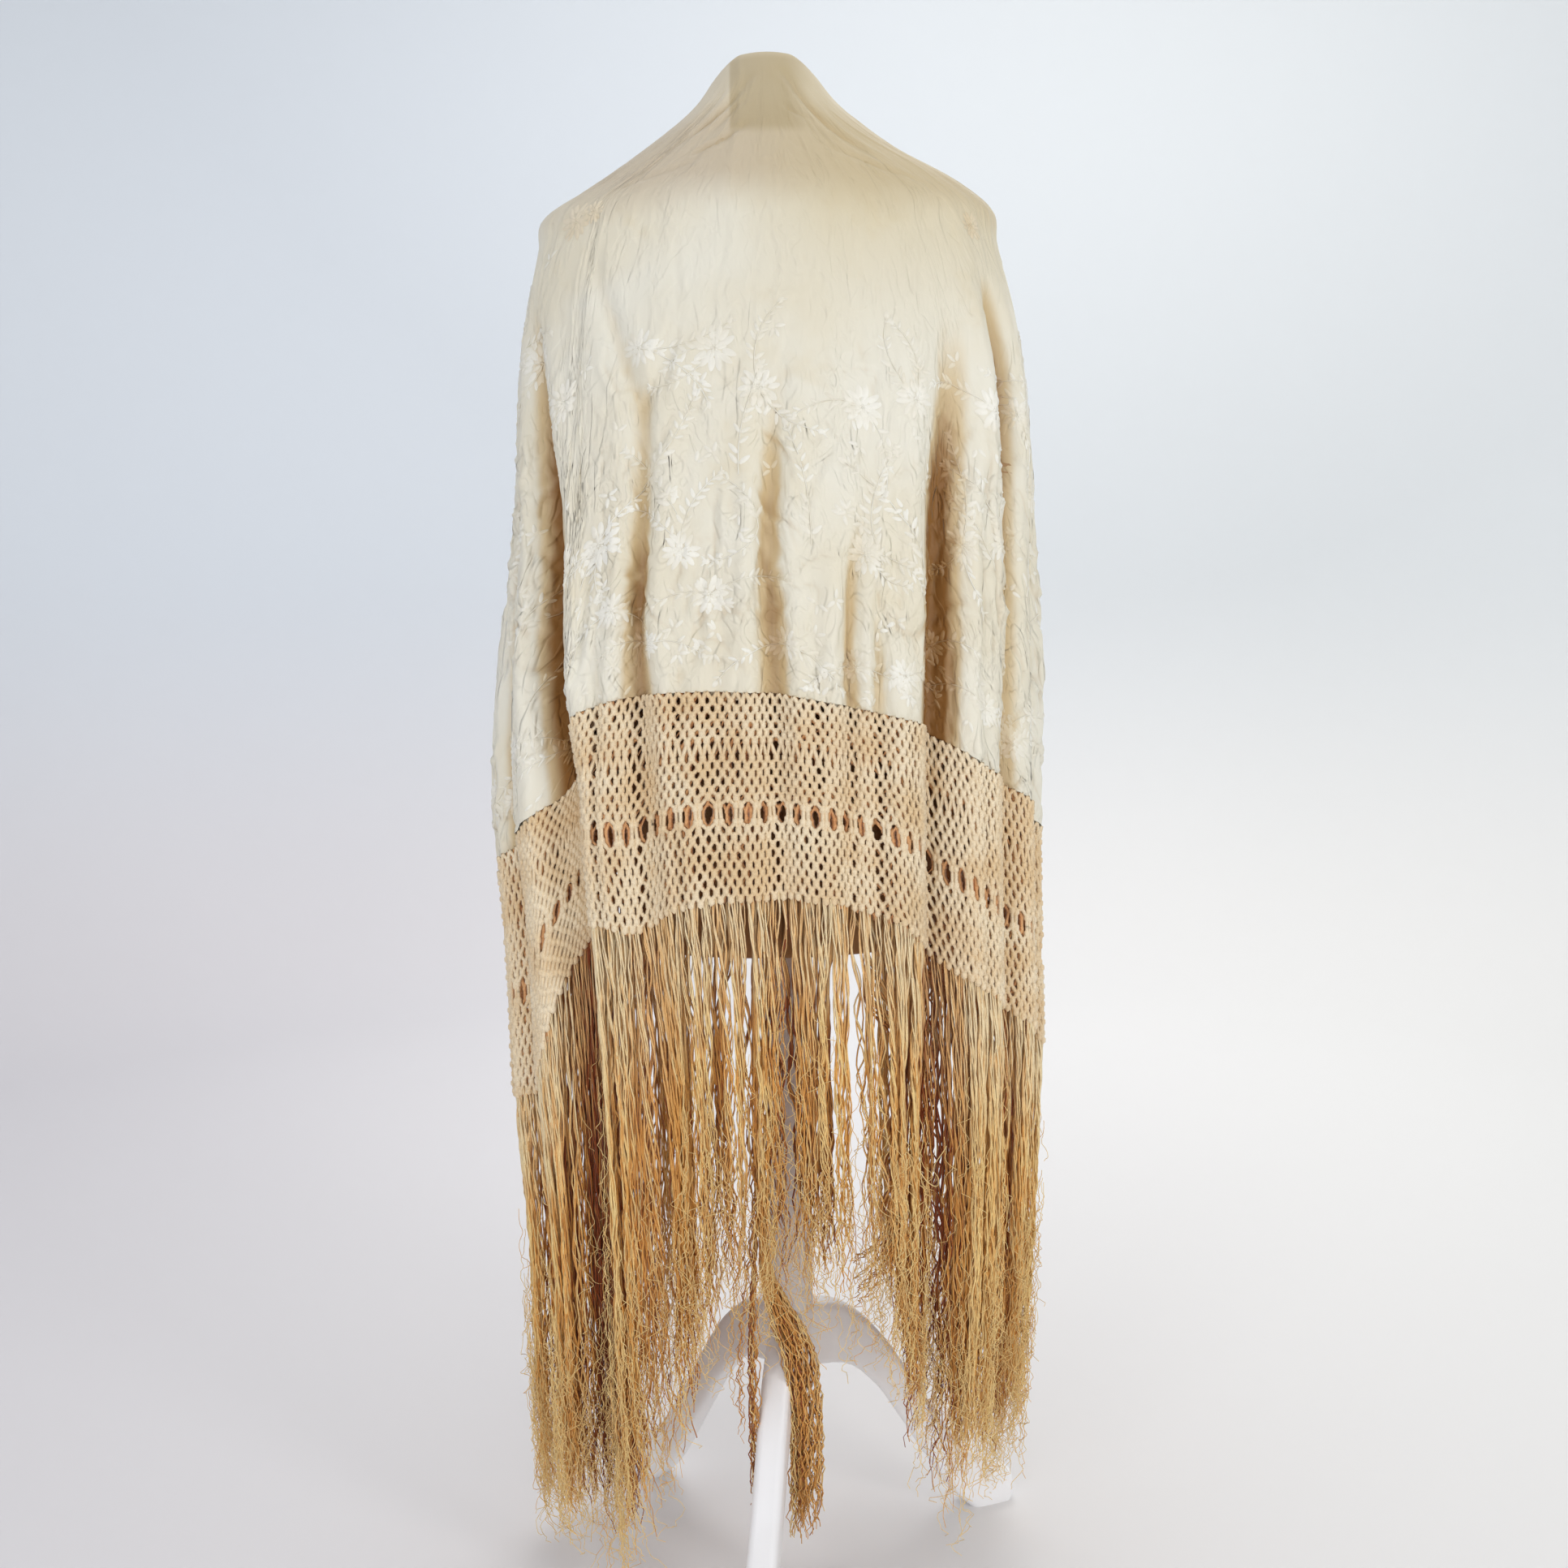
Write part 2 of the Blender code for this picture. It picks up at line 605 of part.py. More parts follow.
def place_on_floor(parent):
    """Moves everything so that the middle of the part's box stands on the origin."""
    bpy.context.view_layer.update()
    corners = [obj.matrix_world @ v.co for obj in bpy.data.objects if obj.type == 'MESH'
               for v in obj.data.vertices]
    low = Vector([min(p[k] for p in corners) for k in range(3)])
    high = Vector([max(p[k] for p in corners) for k in range(3)])
    parent.location = (-(low.x + high.x) / 2, -(low.y + high.y) / 2, -low.z)


def main():
    clear_scene()
    root = bpy.data.objects.new("shawl_on_form", None)
    bpy.context.scene.collection.objects.link(root)
    silk = material("ivory silk crepe", (0.78, 0.74, 0.65), 0.45)
    netting = material("knotted silk net", (0.66, 0.56, 0.40), 0.6)
    fringe = material("silk fringe", (0.58, 0.44, 0.27), 0.5)
    jersey = material("form cover", (0.62, 0.55, 0.45), 0.9)
    paint = material("white painted wood", (0.82, 0.82, 0.80), 0.35)

    form_torso(jersey, root)
    turned("form_neck_block", NECK_BLOCK_RADIUS, NECK_BLOCK_FOOT, NECK_BLOCK_TOP, paint, root)
    turned("stand_pole", POLE_RADIUS, POLE_FOOT, FORM_BOTTOM - SEAM, paint, root)
    for name, angle in LEG_ANGLES.items():
        stand_leg(f"stand_leg_{name}", angle, paint, root)
    for name in STRETCHES:
        silk_stretch(name, silk, root)
        net_stretch(name, netting, root)
        under_net_stretch(name, netting, root)
        fringe_comb(f"fringe_{name}", name, even_runs(name, STRAND_PITCH), 0.0, outer_end, 2, fringe, root)
    inside = NET_WALL + UNDER_GAP + UNDER_SPREAD
    LOCK_ORDER.clear()
    inner_runs = column_runs("back")[1:-1]
    fringe_comb("under_fringe_back", "back", inner_runs, inside, under_end, 2, fringe, root)
    place_on_floor(root)


main()
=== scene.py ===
# %% [markdown]
# # A fringed silk shawl on a dress form
#
# This lesson dresses a plain, measured model with its looks. The object is a square silk
# shawl, folded in half and hung over a limbless dress form on a white stand. The measured
# model came first and is loaded here as a fixed frame. Each of its solids is then replaced
# by a finer piece in the same place: cloth with creases, a net of real threads, strands
# that hang one by one.
#
# The box of the measured model is kept from the start, to compare sizes at the end.

# %% Load the measured model
from collections import namedtuple
import json
import math

import bmesh
import bpy
from mathutils import Matrix, Vector
import numpy as np

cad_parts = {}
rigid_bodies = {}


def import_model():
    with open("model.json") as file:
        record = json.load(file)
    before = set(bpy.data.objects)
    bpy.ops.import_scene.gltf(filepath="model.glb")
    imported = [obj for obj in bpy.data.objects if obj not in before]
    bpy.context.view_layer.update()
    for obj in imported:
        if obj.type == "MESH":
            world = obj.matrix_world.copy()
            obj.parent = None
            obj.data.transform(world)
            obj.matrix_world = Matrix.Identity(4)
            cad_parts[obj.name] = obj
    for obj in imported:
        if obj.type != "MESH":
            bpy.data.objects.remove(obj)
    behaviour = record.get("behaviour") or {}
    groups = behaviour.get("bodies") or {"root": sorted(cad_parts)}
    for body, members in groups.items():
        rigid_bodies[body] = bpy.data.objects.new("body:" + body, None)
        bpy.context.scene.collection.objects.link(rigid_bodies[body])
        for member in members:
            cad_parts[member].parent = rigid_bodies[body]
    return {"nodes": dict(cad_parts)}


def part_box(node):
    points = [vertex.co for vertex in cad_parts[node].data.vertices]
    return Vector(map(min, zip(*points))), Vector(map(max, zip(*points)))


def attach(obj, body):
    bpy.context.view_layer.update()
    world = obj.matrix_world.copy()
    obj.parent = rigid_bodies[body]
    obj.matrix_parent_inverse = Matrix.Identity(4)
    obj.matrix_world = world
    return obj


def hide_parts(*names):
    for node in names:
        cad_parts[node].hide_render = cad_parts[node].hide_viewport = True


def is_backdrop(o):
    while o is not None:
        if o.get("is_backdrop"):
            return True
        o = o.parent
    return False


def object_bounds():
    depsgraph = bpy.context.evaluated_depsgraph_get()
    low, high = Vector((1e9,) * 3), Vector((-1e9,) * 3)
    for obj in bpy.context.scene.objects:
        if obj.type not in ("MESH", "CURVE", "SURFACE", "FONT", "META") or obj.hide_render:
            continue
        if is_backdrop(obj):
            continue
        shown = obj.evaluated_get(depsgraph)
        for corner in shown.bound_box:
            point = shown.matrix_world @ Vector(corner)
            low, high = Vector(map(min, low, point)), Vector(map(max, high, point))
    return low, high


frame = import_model()
MODEL_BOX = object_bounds()
pole_low, pole_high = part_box("stand_pole")
AXIS = np.array([(pole_low.x + pole_high.x) / 2, (pole_low.y + pole_high.y) / 2, 0.0])
print("solids:", len(frame["nodes"]), " pole's axis:", AXIS.round(4))

# %% [markdown]
# ## One way to write shaders
#
# A finish is a tree of nodes. Dragging them by hand is fine for one material, but a script
# is easier to read when shader maths looks like maths. The class below wraps a socket, and
# Python's own operators then add Math nodes. Every other node comes from `Finish.node`.

# %% Shader maths
class Amount:
    """A number that changes over a surface. Operators on it add Math nodes."""

    def __init__(self, finish, socket):
        self.finish = finish
        self.socket = socket

    def maths(self, operation, first, second):
        return self.finish.node("ShaderNodeMath", {"operation": operation}, first, second)

    def __add__(self, other):
        return self.maths("ADD", self, other)

    def __sub__(self, other):
        return self.maths("SUBTRACT", self, other)

    def __rsub__(self, other):
        return self.maths("SUBTRACT", other, self)

    def __mul__(self, other):
        return self.maths("MULTIPLY", self, other)

    def fade(self, start, end):
        """0 before start, 1 after end, and smooth in between."""
        if start > end:
            return 1 - self.fade(end, start)
        return self.finish.node("ShaderNodeMapRange", {"interpolation_type": "SMOOTHSTEP"},
                                self, start, end)


print("an amount can be added, subtracted, multiplied and:", Amount.fade.__name__)

# %% [markdown]
# A finish wraps one material. Its `node` method is the only place where nodes are made:
# it sets the node's own settings, then fills its sockets in order, with plain values or
# with links. The short methods after it stand for the few nodes that are used again and
# again.

# %% A finish and its nodes
class Finish:
    """A material with one Principled shader, and the nodes that feed it."""

    def __init__(self, name, **constants):
        self.material = bpy.data.materials.new(name)
        self.material.use_nodes = True
        self.tree = self.material.node_tree
        self.shader = self.tree.nodes["Principled BSDF"]
        for socket, value in constants.items():
            self.shader.inputs[socket.replace("_", " ")].default_value = value

    def node(self, kind, settings, *values, out=0, **named):
        """Adds a node: its settings first, then what its sockets hold or are linked to."""
        made = self.tree.nodes.new(kind)
        for name, value in settings.items():
            setattr(made, name, value)
        sockets = list(zip(made.inputs, values))
        sockets += [(made.inputs[name], value) for name, value in named.items()]
        for socket, value in sockets:
            self.feed(socket, value)
        return Amount(self, made.outputs[out])

    def feed(self, socket, value):
        if isinstance(value, Amount):
            self.tree.links.new(value.socket, socket)
        else:
            socket.default_value = value

    def mix(self, share, first, second):
        """Colour mix: all first at share 0, all second at share 1."""
        made = self.node("ShaderNodeMix", {"data_type": "RGBA"}, share, out=2)
        inputs = made.socket.node.inputs
        self.feed(inputs[6], first)
        self.feed(inputs[7], second)
        return made

    def place(self):
        """Where the point is on the object, in metres."""
        return self.node("ShaderNodeTexCoord", {}, out=3)

    def stored(self, name):
        """A number that the mesh holds for each of its points."""
        return self.node("ShaderNodeAttribute", {"attribute_name": name}, out=2)

    def axes(self, vector):
        return [self.node("ShaderNodeSeparateXYZ", {}, vector, out=k) for k in range(3)]

    def clouds(self, vector, scale, detail=3.0, roughness=0.5):
        return self.node("ShaderNodeTexNoise", {}, vector, Scale=scale, Detail=detail,
                         Roughness=roughness)

    def stretch(self, vector, scale):
        return self.node("ShaderNodeVectorMath", {"operation": "MULTIPLY"}, vector, scale)

    def bump(self, height, distance, strength=1.0, under=None):
        named = {} if under is None else {"Normal": under}
        return self.node("ShaderNodeBump", {}, Height=height, Distance=distance,
                         Strength=strength, **named)

    def give(self, **links):
        for socket, value in links.items():
            self.feed(self.shader.inputs[socket.replace("_", " ")], value)
        return self.material


print("a finish can:", [name for name in vars(Finish) if not name.startswith("_")])

# %% [markdown]
# Colours are given as seen on a screen, but Blender mixes them as amounts of light. One helper
# turns the first kind into the second.

# %% Colours as amounts of light
def paint(red, green, blue):
    """A colour as seen on a screen, from 0 to 255, as the linear colour that Blender uses."""
    shares = [value / 255 for value in (red, green, blue)]
    linear = [s / 12.92 if s <= 0.04045 else ((s + 0.055) / 1.055) ** 2.4 for s in shares]
    return (*linear, 1.0)


print("a warm ivory in linear numbers:", [round(c, 3) for c in paint(226, 222, 208)])

# %% [markdown]
# ## Camera
#
# The camera stands behind the shawl at chest height, a little over arm's length away, tilted
# down a few degrees and held very slightly crooked. A short distance makes the legs look
# larger than the neck, so the distance matters as much as the lens.

# %% Camera
CAMERA_DISTANCE = 1.45
CAMERA_SIDE = 0.0035
CAMERA_HEIGHT = 0.917
CAMERA_TILT = math.radians(6.0)
CAMERA_ROLL = math.radians(1.2)
SENSOR = 36.0
FRAME_PIXELS = 1932
FOCAL_PIXELS = 1885
LENS = SENSOR * FOCAL_PIXELS / FRAME_PIXELS

camera = bpy.data.objects.new("camera", bpy.data.cameras.new("camera"))
bpy.context.scene.collection.objects.link(camera)
bpy.context.scene.camera = camera
camera.data.sensor_width = SENSOR
camera.data.lens = LENS
camera.location = (AXIS[0] + CAMERA_SIDE, AXIS[1] - CAMERA_DISTANCE, CAMERA_HEIGHT)
aim = Matrix.Rotation(math.pi / 2 - CAMERA_TILT, 3, "X") @ Matrix.Rotation(-CAMERA_ROLL, 3, "Z")
camera.rotation_euler = aim.to_euler()
print("lens:", round(LENS, 2), "mm")

# %% [markdown]
# ## Studio
#
# Product photographs are often taken on a roll of pale paper that curves up behind the
# object, so that no line shows where the floor ends. A bowl does the same from every side:
# a flat floor whose rim curves up into a wall. It belongs to the stage and not to the
# object. Big soft lights hang inside the bowl, and the pale paper throws light back into
# the folds.

# %% Floor and backdrop in one sweep
FLOOR_RADIUS = 2.3
SWEEP_RADIUS = 1.0
WALL_TOP = 3.2
SWEEP_SIDES = 96
SWEEP_STEPS = 12


def studio_paper():
    paper = Finish("pale studio paper", Roughness=0.9, Specular_IOR_Level=0.2)
    x, _, z = paper.axes(paper.place())
    # Painted light: the paper is darker at the left and brighter at the right, where the key light
    # stands.
    across = x.fade(-1.6, 1.6)
    ground = paper.mix(across, paint(222, 219, 222), paint(240, 239, 237))
    wall = paper.mix(across, paint(219, 225, 232), paint(228, 232, 234))
    return paper.give(Base_Color=paper.mix(z.fade(0.0, 1.2), ground, wall))


def bowl_mesh():
    """The bowl as rings of points: flat floor, quarter circle, wall."""
    profile = [(0.0, 0.0), (FLOOR_RADIUS * 0.5, 0.0), (FLOOR_RADIUS, 0.0)]
    for step in range(1, SWEEP_STEPS + 1):
        bend = math.pi / 2 * step / SWEEP_STEPS
        profile.append((FLOOR_RADIUS + SWEEP_RADIUS * math.sin(bend),
                        SWEEP_RADIUS * (1 - math.cos(bend))))
    profile.append((FLOOR_RADIUS + SWEEP_RADIUS, WALL_TOP))
    bm = bmesh.new()
    line = [bm.verts.new((r, 0, z)) for r, z in profile]
    edges = [bm.edges.new(pair) for pair in zip(line, line[1:])]
    bmesh.ops.spin(bm, geom=line + edges, cent=(0, 0, 0), axis=(0, 0, 1),
                   angle=2 * math.pi, steps=SWEEP_SIDES, use_merge=True)
    bmesh.ops.remove_doubles(bm, verts=bm.verts[:], dist=1e-5)
    bmesh.ops.recalc_face_normals(bm, faces=bm.faces[:])
    mesh = bpy.data.meshes.new("studio_floor")
    bm.to_mesh(mesh)
    bm.free()
    mesh.shade_smooth()
    return mesh


floor = bpy.data.objects.new("studio_floor", bowl_mesh())
bpy.context.scene.collection.objects.link(floor)
floor.data.materials.append(studio_paper())
floor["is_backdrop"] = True
print("floor faces:", len(floor.data.polygons))

# %% [markdown]
# ## Lights
#
# Large soft lamps leave soft shadows, as in a studio. The key light stands at the right and
# a little above, so each fold is bright on one side and shaded on the other. The fill and
# the low lamp open up the shadows on the camera's side, the low one mainly on the legs. The
# others light the front, the top and the paper behind, and the world adds a little from
# everywhere.

# %% Lamps and air
AIR_COLOUR = (0.99, 0.99, 1.0, 1.0)
AIR_STRENGTH = 0.57
Light = namedtuple("Light", "name place aim size power colour")
SUBJECT = (0.0, 0.0, 0.8)
LIGHTS = (
    Light("key", (1.9, -1.7, 1.6), SUBJECT, 0.7, 12.2, (1.0, 0.99, 0.98)),
    Light("fill", (-1.2, -2.3, 1.0), (0.0, 0.0, 0.6), 1.0, 11.2, (1.0, 0.99, 0.98)),
    Light("low", (0.45, -2.4, 0.85), (0.0, 0.1, 0.12), 0.8, 5.8, (1.0, 0.99, 0.98)),
    Light("front", (0.6, 2.4, 2.3), SUBJECT, 2.0, 14.0, (1.0, 0.98, 0.95)),
    Light("top", (0.0, 0.3, 3.0), SUBJECT, 2.2, 8.0, (1.0, 1.0, 1.0)),
    Light("backdrop", (0.3, 1.2, 2.9), (0.2, 3.3, 1.0), 1.6, 25.0, (1.0, 0.99, 0.98)),
)

for light in LIGHTS:
    lamp = bpy.data.lights.new(light.name, "AREA")
    lamp.shape = "DISK"
    lamp.size = light.size
    lamp.energy = light.power
    lamp.color = light.colour
    holder = bpy.data.objects.new(light.name, lamp)
    holder.location = light.place
    backward = Vector(light.place) - Vector(light.aim)
    holder.rotation_euler = backward.to_track_quat("Z", "Y").to_euler()
    bpy.context.scene.collection.objects.link(holder)

world = bpy.data.worlds.new("studio air")
world.use_nodes = True
air = world.node_tree.nodes["Background"].inputs
air["Color"].default_value = AIR_COLOUR
air["Strength"].default_value = AIR_STRENGTH
bpy.context.scene.world = world
bpy.context.scene.view_settings.view_transform = "Standard"
print("lights:", [light.name for light in LIGHTS])

# %% [markdown]
# ## White painted stand
#
# The stand is turned and sawn wood under white satin paint: a round pole, and three curved
# legs cut from a board. A leg could be drawn as a curve and swept, but a maker saws it out
# and rounds its edges, and the same steps work here: an outline, a thickness, a bevel.
#
# The paint comes first. Its brush marks are a noise that is stretched upwards.

# %% Paint with brush marks and a little wear
def stand_paint():
    coat = Finish("white satin paint", Specular_IOR_Level=0.45, Coat_Weight=0.15,
                  Coat_Roughness=0.3)
    place = coat.place()
    brushed = coat.clouds(coat.stretch(place, (260.0, 260.0, 18.0)), 1.0, 2.0)
    patches = coat.clouds(place, 9.0, 4.0)
    colour = coat.mix(patches.fade(0.35, 0.75), paint(250, 249, 250), paint(243, 241, 241))
    return coat.give(Base_Color=colour, Roughness=patches * 0.18 + 0.28,
                     Normal=coat.bump(brushed, 0.0003, 0.35))


white_paint = stand_paint()
print("made:", white_paint.name)

# %% [markdown]
# ## Helpers for every piece
#
# Each piece gets a name, a finish and the body that it moves with, and the solid that it stands for
# is hidden, so one helper does all of that. Two more help with editing: `apply_place` moves an
# object's place into its mesh, and `pick` selects faces or edges by a test.

# %% Finish a piece, pick its parts
def finished(obj, name, finish, replaced=(), smooth=40.0):
    """Names a piece, gives it its finish and body, and hides the solids that it stands for."""
    obj.name = name
    obj.data.name = name
    obj.data.materials.clear()
    obj.data.materials.append(finish)
    if smooth is not None:
        obj.data.shade_smooth()
        obj.data.set_sharp_from_angle(angle=math.radians(smooth))
    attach(obj, "root")
    if replaced:
        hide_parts(*replaced)
    return obj


def deselect_all():
    for obj in bpy.context.selected_objects:
        obj.select_set(False)


def apply_place(obj):
    """Puts the object's place into its mesh, so that the object sits at the origin."""
    obj.data.transform(obj.matrix_basis)
    obj.matrix_basis = Matrix.Identity(4)


def pick(obj, test, kind="faces"):
    """Selects the faces or edges whose middle passes the test, in edit mode."""
    bpy.ops.object.mode_set(mode="EDIT")
    bpy.ops.mesh.select_all(action="DESELECT")
    bpy.context.tool_settings.mesh_select_mode = (False, kind == "edges", kind == "faces")
    bm = bmesh.from_edit_mesh(obj.data)
    for part in getattr(bm, kind):
        middle = sum((v.co for v in part.verts), Vector()) / len(part.verts)
        part.select_set(test(middle, part))
    bmesh.update_edit_mesh(obj.data)


print("every piece rides on the body: root")

# %% [markdown]
# ## Pole and neck block
#
# Both are turned on a lathe, so a cylinder is enough. A bisect cuts a ring of edges into it
# at each turned line, a bevel widens the ring, and a small shrink sinks it. The neck block
# ends a little lower than its solid, because the draped cloth over it is lower too.

# %% Turned bars
POLE_RADIUS = (pole_high.x - pole_low.x) / 2
BAR_SIDES = 64
POLE_RINGS = (0.186, 0.272)
BLOCK_RINGS = (1.407,)
BLOCK_BELOW = 0.011
GROOVE = 0.0022
GROOVE_SHRINK = 0.965
EASED_END = 0.0025


def turned_pole(name, low, high, radius, rings, replaced):
    """A round bar from low to high, with an eased end and shallow turned rings."""
    deselect_all()
    bpy.ops.mesh.primitive_cylinder_add(vertices=BAR_SIDES, radius=radius, depth=high - low,
                                        location=(AXIS[0], AXIS[1], (low + high) / 2))
    bar = bpy.context.object
    apply_place(bar)
    for height in rings:
        pick(bar, lambda middle, part: True)
        bpy.ops.mesh.bisect(plane_co=(0, 0, height), plane_no=(0, 0, 1))
        pick(bar, lambda middle, part: abs(middle.z - height) < 1e-5, "edges")
        bpy.ops.mesh.bevel(offset=GROOVE, segments=2, affect="EDGES")
        pick(bar, lambda middle, part: abs(middle.z - height) < 5e-4
             and part.calc_length() < 0.02, "edges")
        bpy.ops.transform.resize(value=(GROOVE_SHRINK, GROOVE_SHRINK, 1),
                                 center_override=(AXIS[0], AXIS[1], height))
    pick(bar, lambda middle, part: min(abs(middle.z - low), abs(middle.z - high)) < 1e-6,
         "edges")
    bpy.ops.mesh.bevel(offset=EASED_END, segments=3, affect="EDGES")
    pick(bar, lambda middle, part: part.normal.z > 0.99 and len(part.verts) > 10)
    bpy.ops.mesh.inset(thickness=radius * 0.25, depth=0.0012)
    bpy.ops.mesh.inset(thickness=radius * 0.3, depth=0.0)
    bpy.ops.object.mode_set(mode="OBJECT")
    return finished(bar, name, white_paint, replaced)


pole = turned_pole("painted_pole", pole_low.z, pole_high.z, POLE_RADIUS, POLE_RINGS,
                   ("stand_pole",))
block_low, block_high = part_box("form_neck_block")
neck_block = turned_pole("painted_neck_block", block_low.z, block_high.z - BLOCK_BELOW,
                         (block_high.x - block_low.x) / 2, BLOCK_RINGS, ("form_neck_block",))
print("pole:", len(pole.data.polygons), "faces, neck block:", len(neck_block.data.polygons))

# %% [markdown]
# ## Smooth lines
#
# Most shapes here start as a few points in a table. One helper reads a smooth curve
# through the points, and another spaces new points evenly along it. The cloth uses both
# later on.

# %% Smooth curves through a few points
def curve_through(values, places, heights):
    """Smooth curve through a table's points, with the slopes of its neighbours."""
    places = np.asarray(places, float)
    heights = np.asarray(heights, float)
    slopes = np.gradient(heights, places)
    values = np.clip(values, places[0], places[-1])
    k = np.clip(np.searchsorted(places, values) - 1, 0, len(places) - 2)
    span = places[k + 1] - places[k]
    f = (values - places[k]) / span
    return ((2 * f**3 - 3 * f**2 + 1) * heights[k] + (f**3 - 2 * f**2 + f) * span * slopes[k]
            + (3 * f**2 - 2 * f**3) * heights[k + 1] + (f**3 - f**2) * span * slopes[k + 1])


def smooth_line(points, count):
    """Points spaced evenly along a smooth curve through a few given ones."""
    points = np.array(points, float)
    runs = np.concatenate([[0], np.cumsum(np.linalg.norm(np.diff(points, axis=0), axis=1))])
    places = np.linspace(0, runs[-1], count)
    return np.stack([curve_through(places, runs, points[:, k]) for k in range(points.shape[1])], 1)


print("halfway between 0, 1 and 4:", float(curve_through(0.5, (0, 1, 2), (0, 1, 4))))

# %% [markdown]
# ## Legs
#
# The outline runs along the top of the leg and back along its underside, and both start
# inside the pole. The circle's points are moved to the outline, which saves building a face
# by hand, and an extrusion gives the board's thickness. One leg is made, and the others are
# copies of it, each with its own mesh.

# %% Sawn legs
LEG_THICKNESS = 0.028
LEG_ROUNDING = 0.0075
LEG_SHARP = 30.0
LEG_TOP_POINTS = 26
LEG_SOLE_POINTS = 24
LEG_TOP = ((0.0150, 0.250), (0.045, 0.245), (0.075, 0.224), (0.105, 0.186), (0.135, 0.136),
           (0.165, 0.088), (0.195, 0.054), (0.220, 0.040), (0.236, 0.030))
LEG_SOLE = ((0.240, 0.012), (0.236, 0.0), (0.190, 0.0), (0.172, 0.018), (0.145, 0.058),
            (0.115, 0.108), (0.085, 0.153), (0.055, 0.180), (0.0150, 0.186))
LEG_ANGLES = {"near": -101.0, "right": 19.0, "left": 139.0}


def sawn_leg():
    """The leg that points along +X: its outline, its thickness, then its rounded edges."""
    top = smooth_line(LEG_TOP, LEG_TOP_POINTS)
    under = smooth_line(LEG_SOLE[2:], LEG_SOLE_POINTS)
    outline = np.vstack([top, LEG_SOLE[:2], under])
    deselect_all()
    bpy.ops.mesh.primitive_circle_add(vertices=len(outline), radius=0.1, fill_type="NGON")
    leg = bpy.context.object
    for vertex, (reach, height) in zip(leg.data.vertices, outline):
        vertex.co = (reach, -LEG_THICKNESS / 2, height)
    pick(leg, lambda middle, part: True)
    bpy.ops.mesh.extrude_region_move(TRANSFORM_OT_translate={"value": (0, LEG_THICKNESS, 0)})
    bpy.ops.mesh.select_all(action="SELECT")
    bpy.ops.mesh.normals_make_consistent(inside=False)
    hub = LEG_TOP[0][0]
    pick(leg, lambda middle, part: abs(abs(middle.y) - LEG_THICKNESS / 2) < 1e-6
         and middle.x > hub + 1e-4 and middle.z > 1e-4, "edges")
    bpy.ops.mesh.bevel(offset=LEG_ROUNDING, segments=4, affect="EDGES")
    bpy.ops.object.mode_set(mode="OBJECT")
    return leg


first_leg = sawn_leg()
for name, angle in LEG_ANGLES.items():
    leg = bpy.data.objects.new("leg", first_leg.data.copy())
    bpy.context.scene.collection.objects.link(leg)
    leg.data.transform(Matrix.Translation(AXIS) @ Matrix.Rotation(math.radians(angle), 4, "Z"))
    finished(leg, f"painted_leg_{name}", white_paint, (f"stand_leg_{name}",),
             LEG_SHARP)
bpy.data.objects.remove(first_leg)
print("each leg:", len(leg.data.polygons), "faces")

# %% [markdown]
# ## Dress form
#
# A dress form is a padded torso under a stretched jersey cover, sewn in long panels. Almost
# all of it is under the shawl, but it shows through the open front and from below. The
# cover is one finish: a fine knit with ribs, and a sewn line down the middle, where the
# panels meet.

# %% Jersey cover
SEAM_WIDTH = 0.0032
SEAM_CORE = 0.0008
RIBS = 4200.0


def jersey():
    cover = Finish("form jersey", Roughness=0.88, Specular_IOR_Level=0.25, Sheen_Weight=0.25,
                   Sheen_Roughness=0.5)
    place = cover.place()
    x, _, z = cover.axes(place)
    aside = x - float(AXIS[0])
    seam = (aside * aside).fade((SEAM_WIDTH / 2)**2, (SEAM_CORE / 2)**2)
    ribs = cover.node("ShaderNodeMath", {"operation": "SINE"}, z * RIBS)
    knit = cover.node("ShaderNodeTexVoronoi", {}, cover.stretch(place, (900.0, 900.0, 600.0)))
    worn = cover.clouds(place, 14.0, 5.0)
    # The brown is partly the cover's own colour and partly painted shade, dark enough for the holes
    # of the net.
    colour = cover.mix(worn.fade(0.3, 0.8), paint(206, 160, 112), paint(186, 136, 90))
    sewn = cover.mix(seam * 0.55, colour, paint(128, 84, 48))
    relief = cover.bump(knit * 0.7 + ribs * 0.2, 0.0004, 0.5)
    return cover.give(Base_Color=sewn, Normal=cover.bump(seam, 0.0012, 1.0, relief))


form_cover = jersey()
print("finish:", form_cover.name, "with", len(form_cover.node_tree.nodes), "nodes")

# %% [markdown]
# The torso starts as a circle at the hem and is extruded upwards ring by ring, with each
# ring made wider or flatter. A table of half widths says how. A subdivision surface then
# rounds it.

# %% Padded torso
Ring = namedtuple("Ring", "height side back front")
FORM_RINGS = (
    Ring(0.640, 0.152, 0.097, 0.098), Ring(0.720, 0.157, 0.101, 0.104),
    Ring(0.800, 0.152, 0.098, 0.104), Ring(0.900, 0.132, 0.090, 0.096),
    Ring(0.990, 0.118, 0.083, 0.088), Ring(1.070, 0.130, 0.088, 0.104),
    Ring(1.150, 0.150, 0.094, 0.116), Ring(1.215, 0.172, 0.094, 0.108),
    Ring(1.255, 0.196, 0.087, 0.094), Ring(1.278, 0.2037, 0.078, 0.082),
    Ring(1.289, 0.190, 0.072, 0.074), Ring(1.303, 0.150, 0.067, 0.067),
    Ring(1.320, 0.100, 0.060, 0.060), Ring(1.338, 0.066, 0.052, 0.052),
    Ring(1.3590, 0.052, 0.047, 0.047),
)
FORM_FOOT = Ring(0.6145, 0.142, 0.089, 0.090)
FORM_SIDES = 40


def ring_middle(ring):
    return (AXIS[0], AXIS[1] + (ring.front - ring.back) / 2, ring.height)


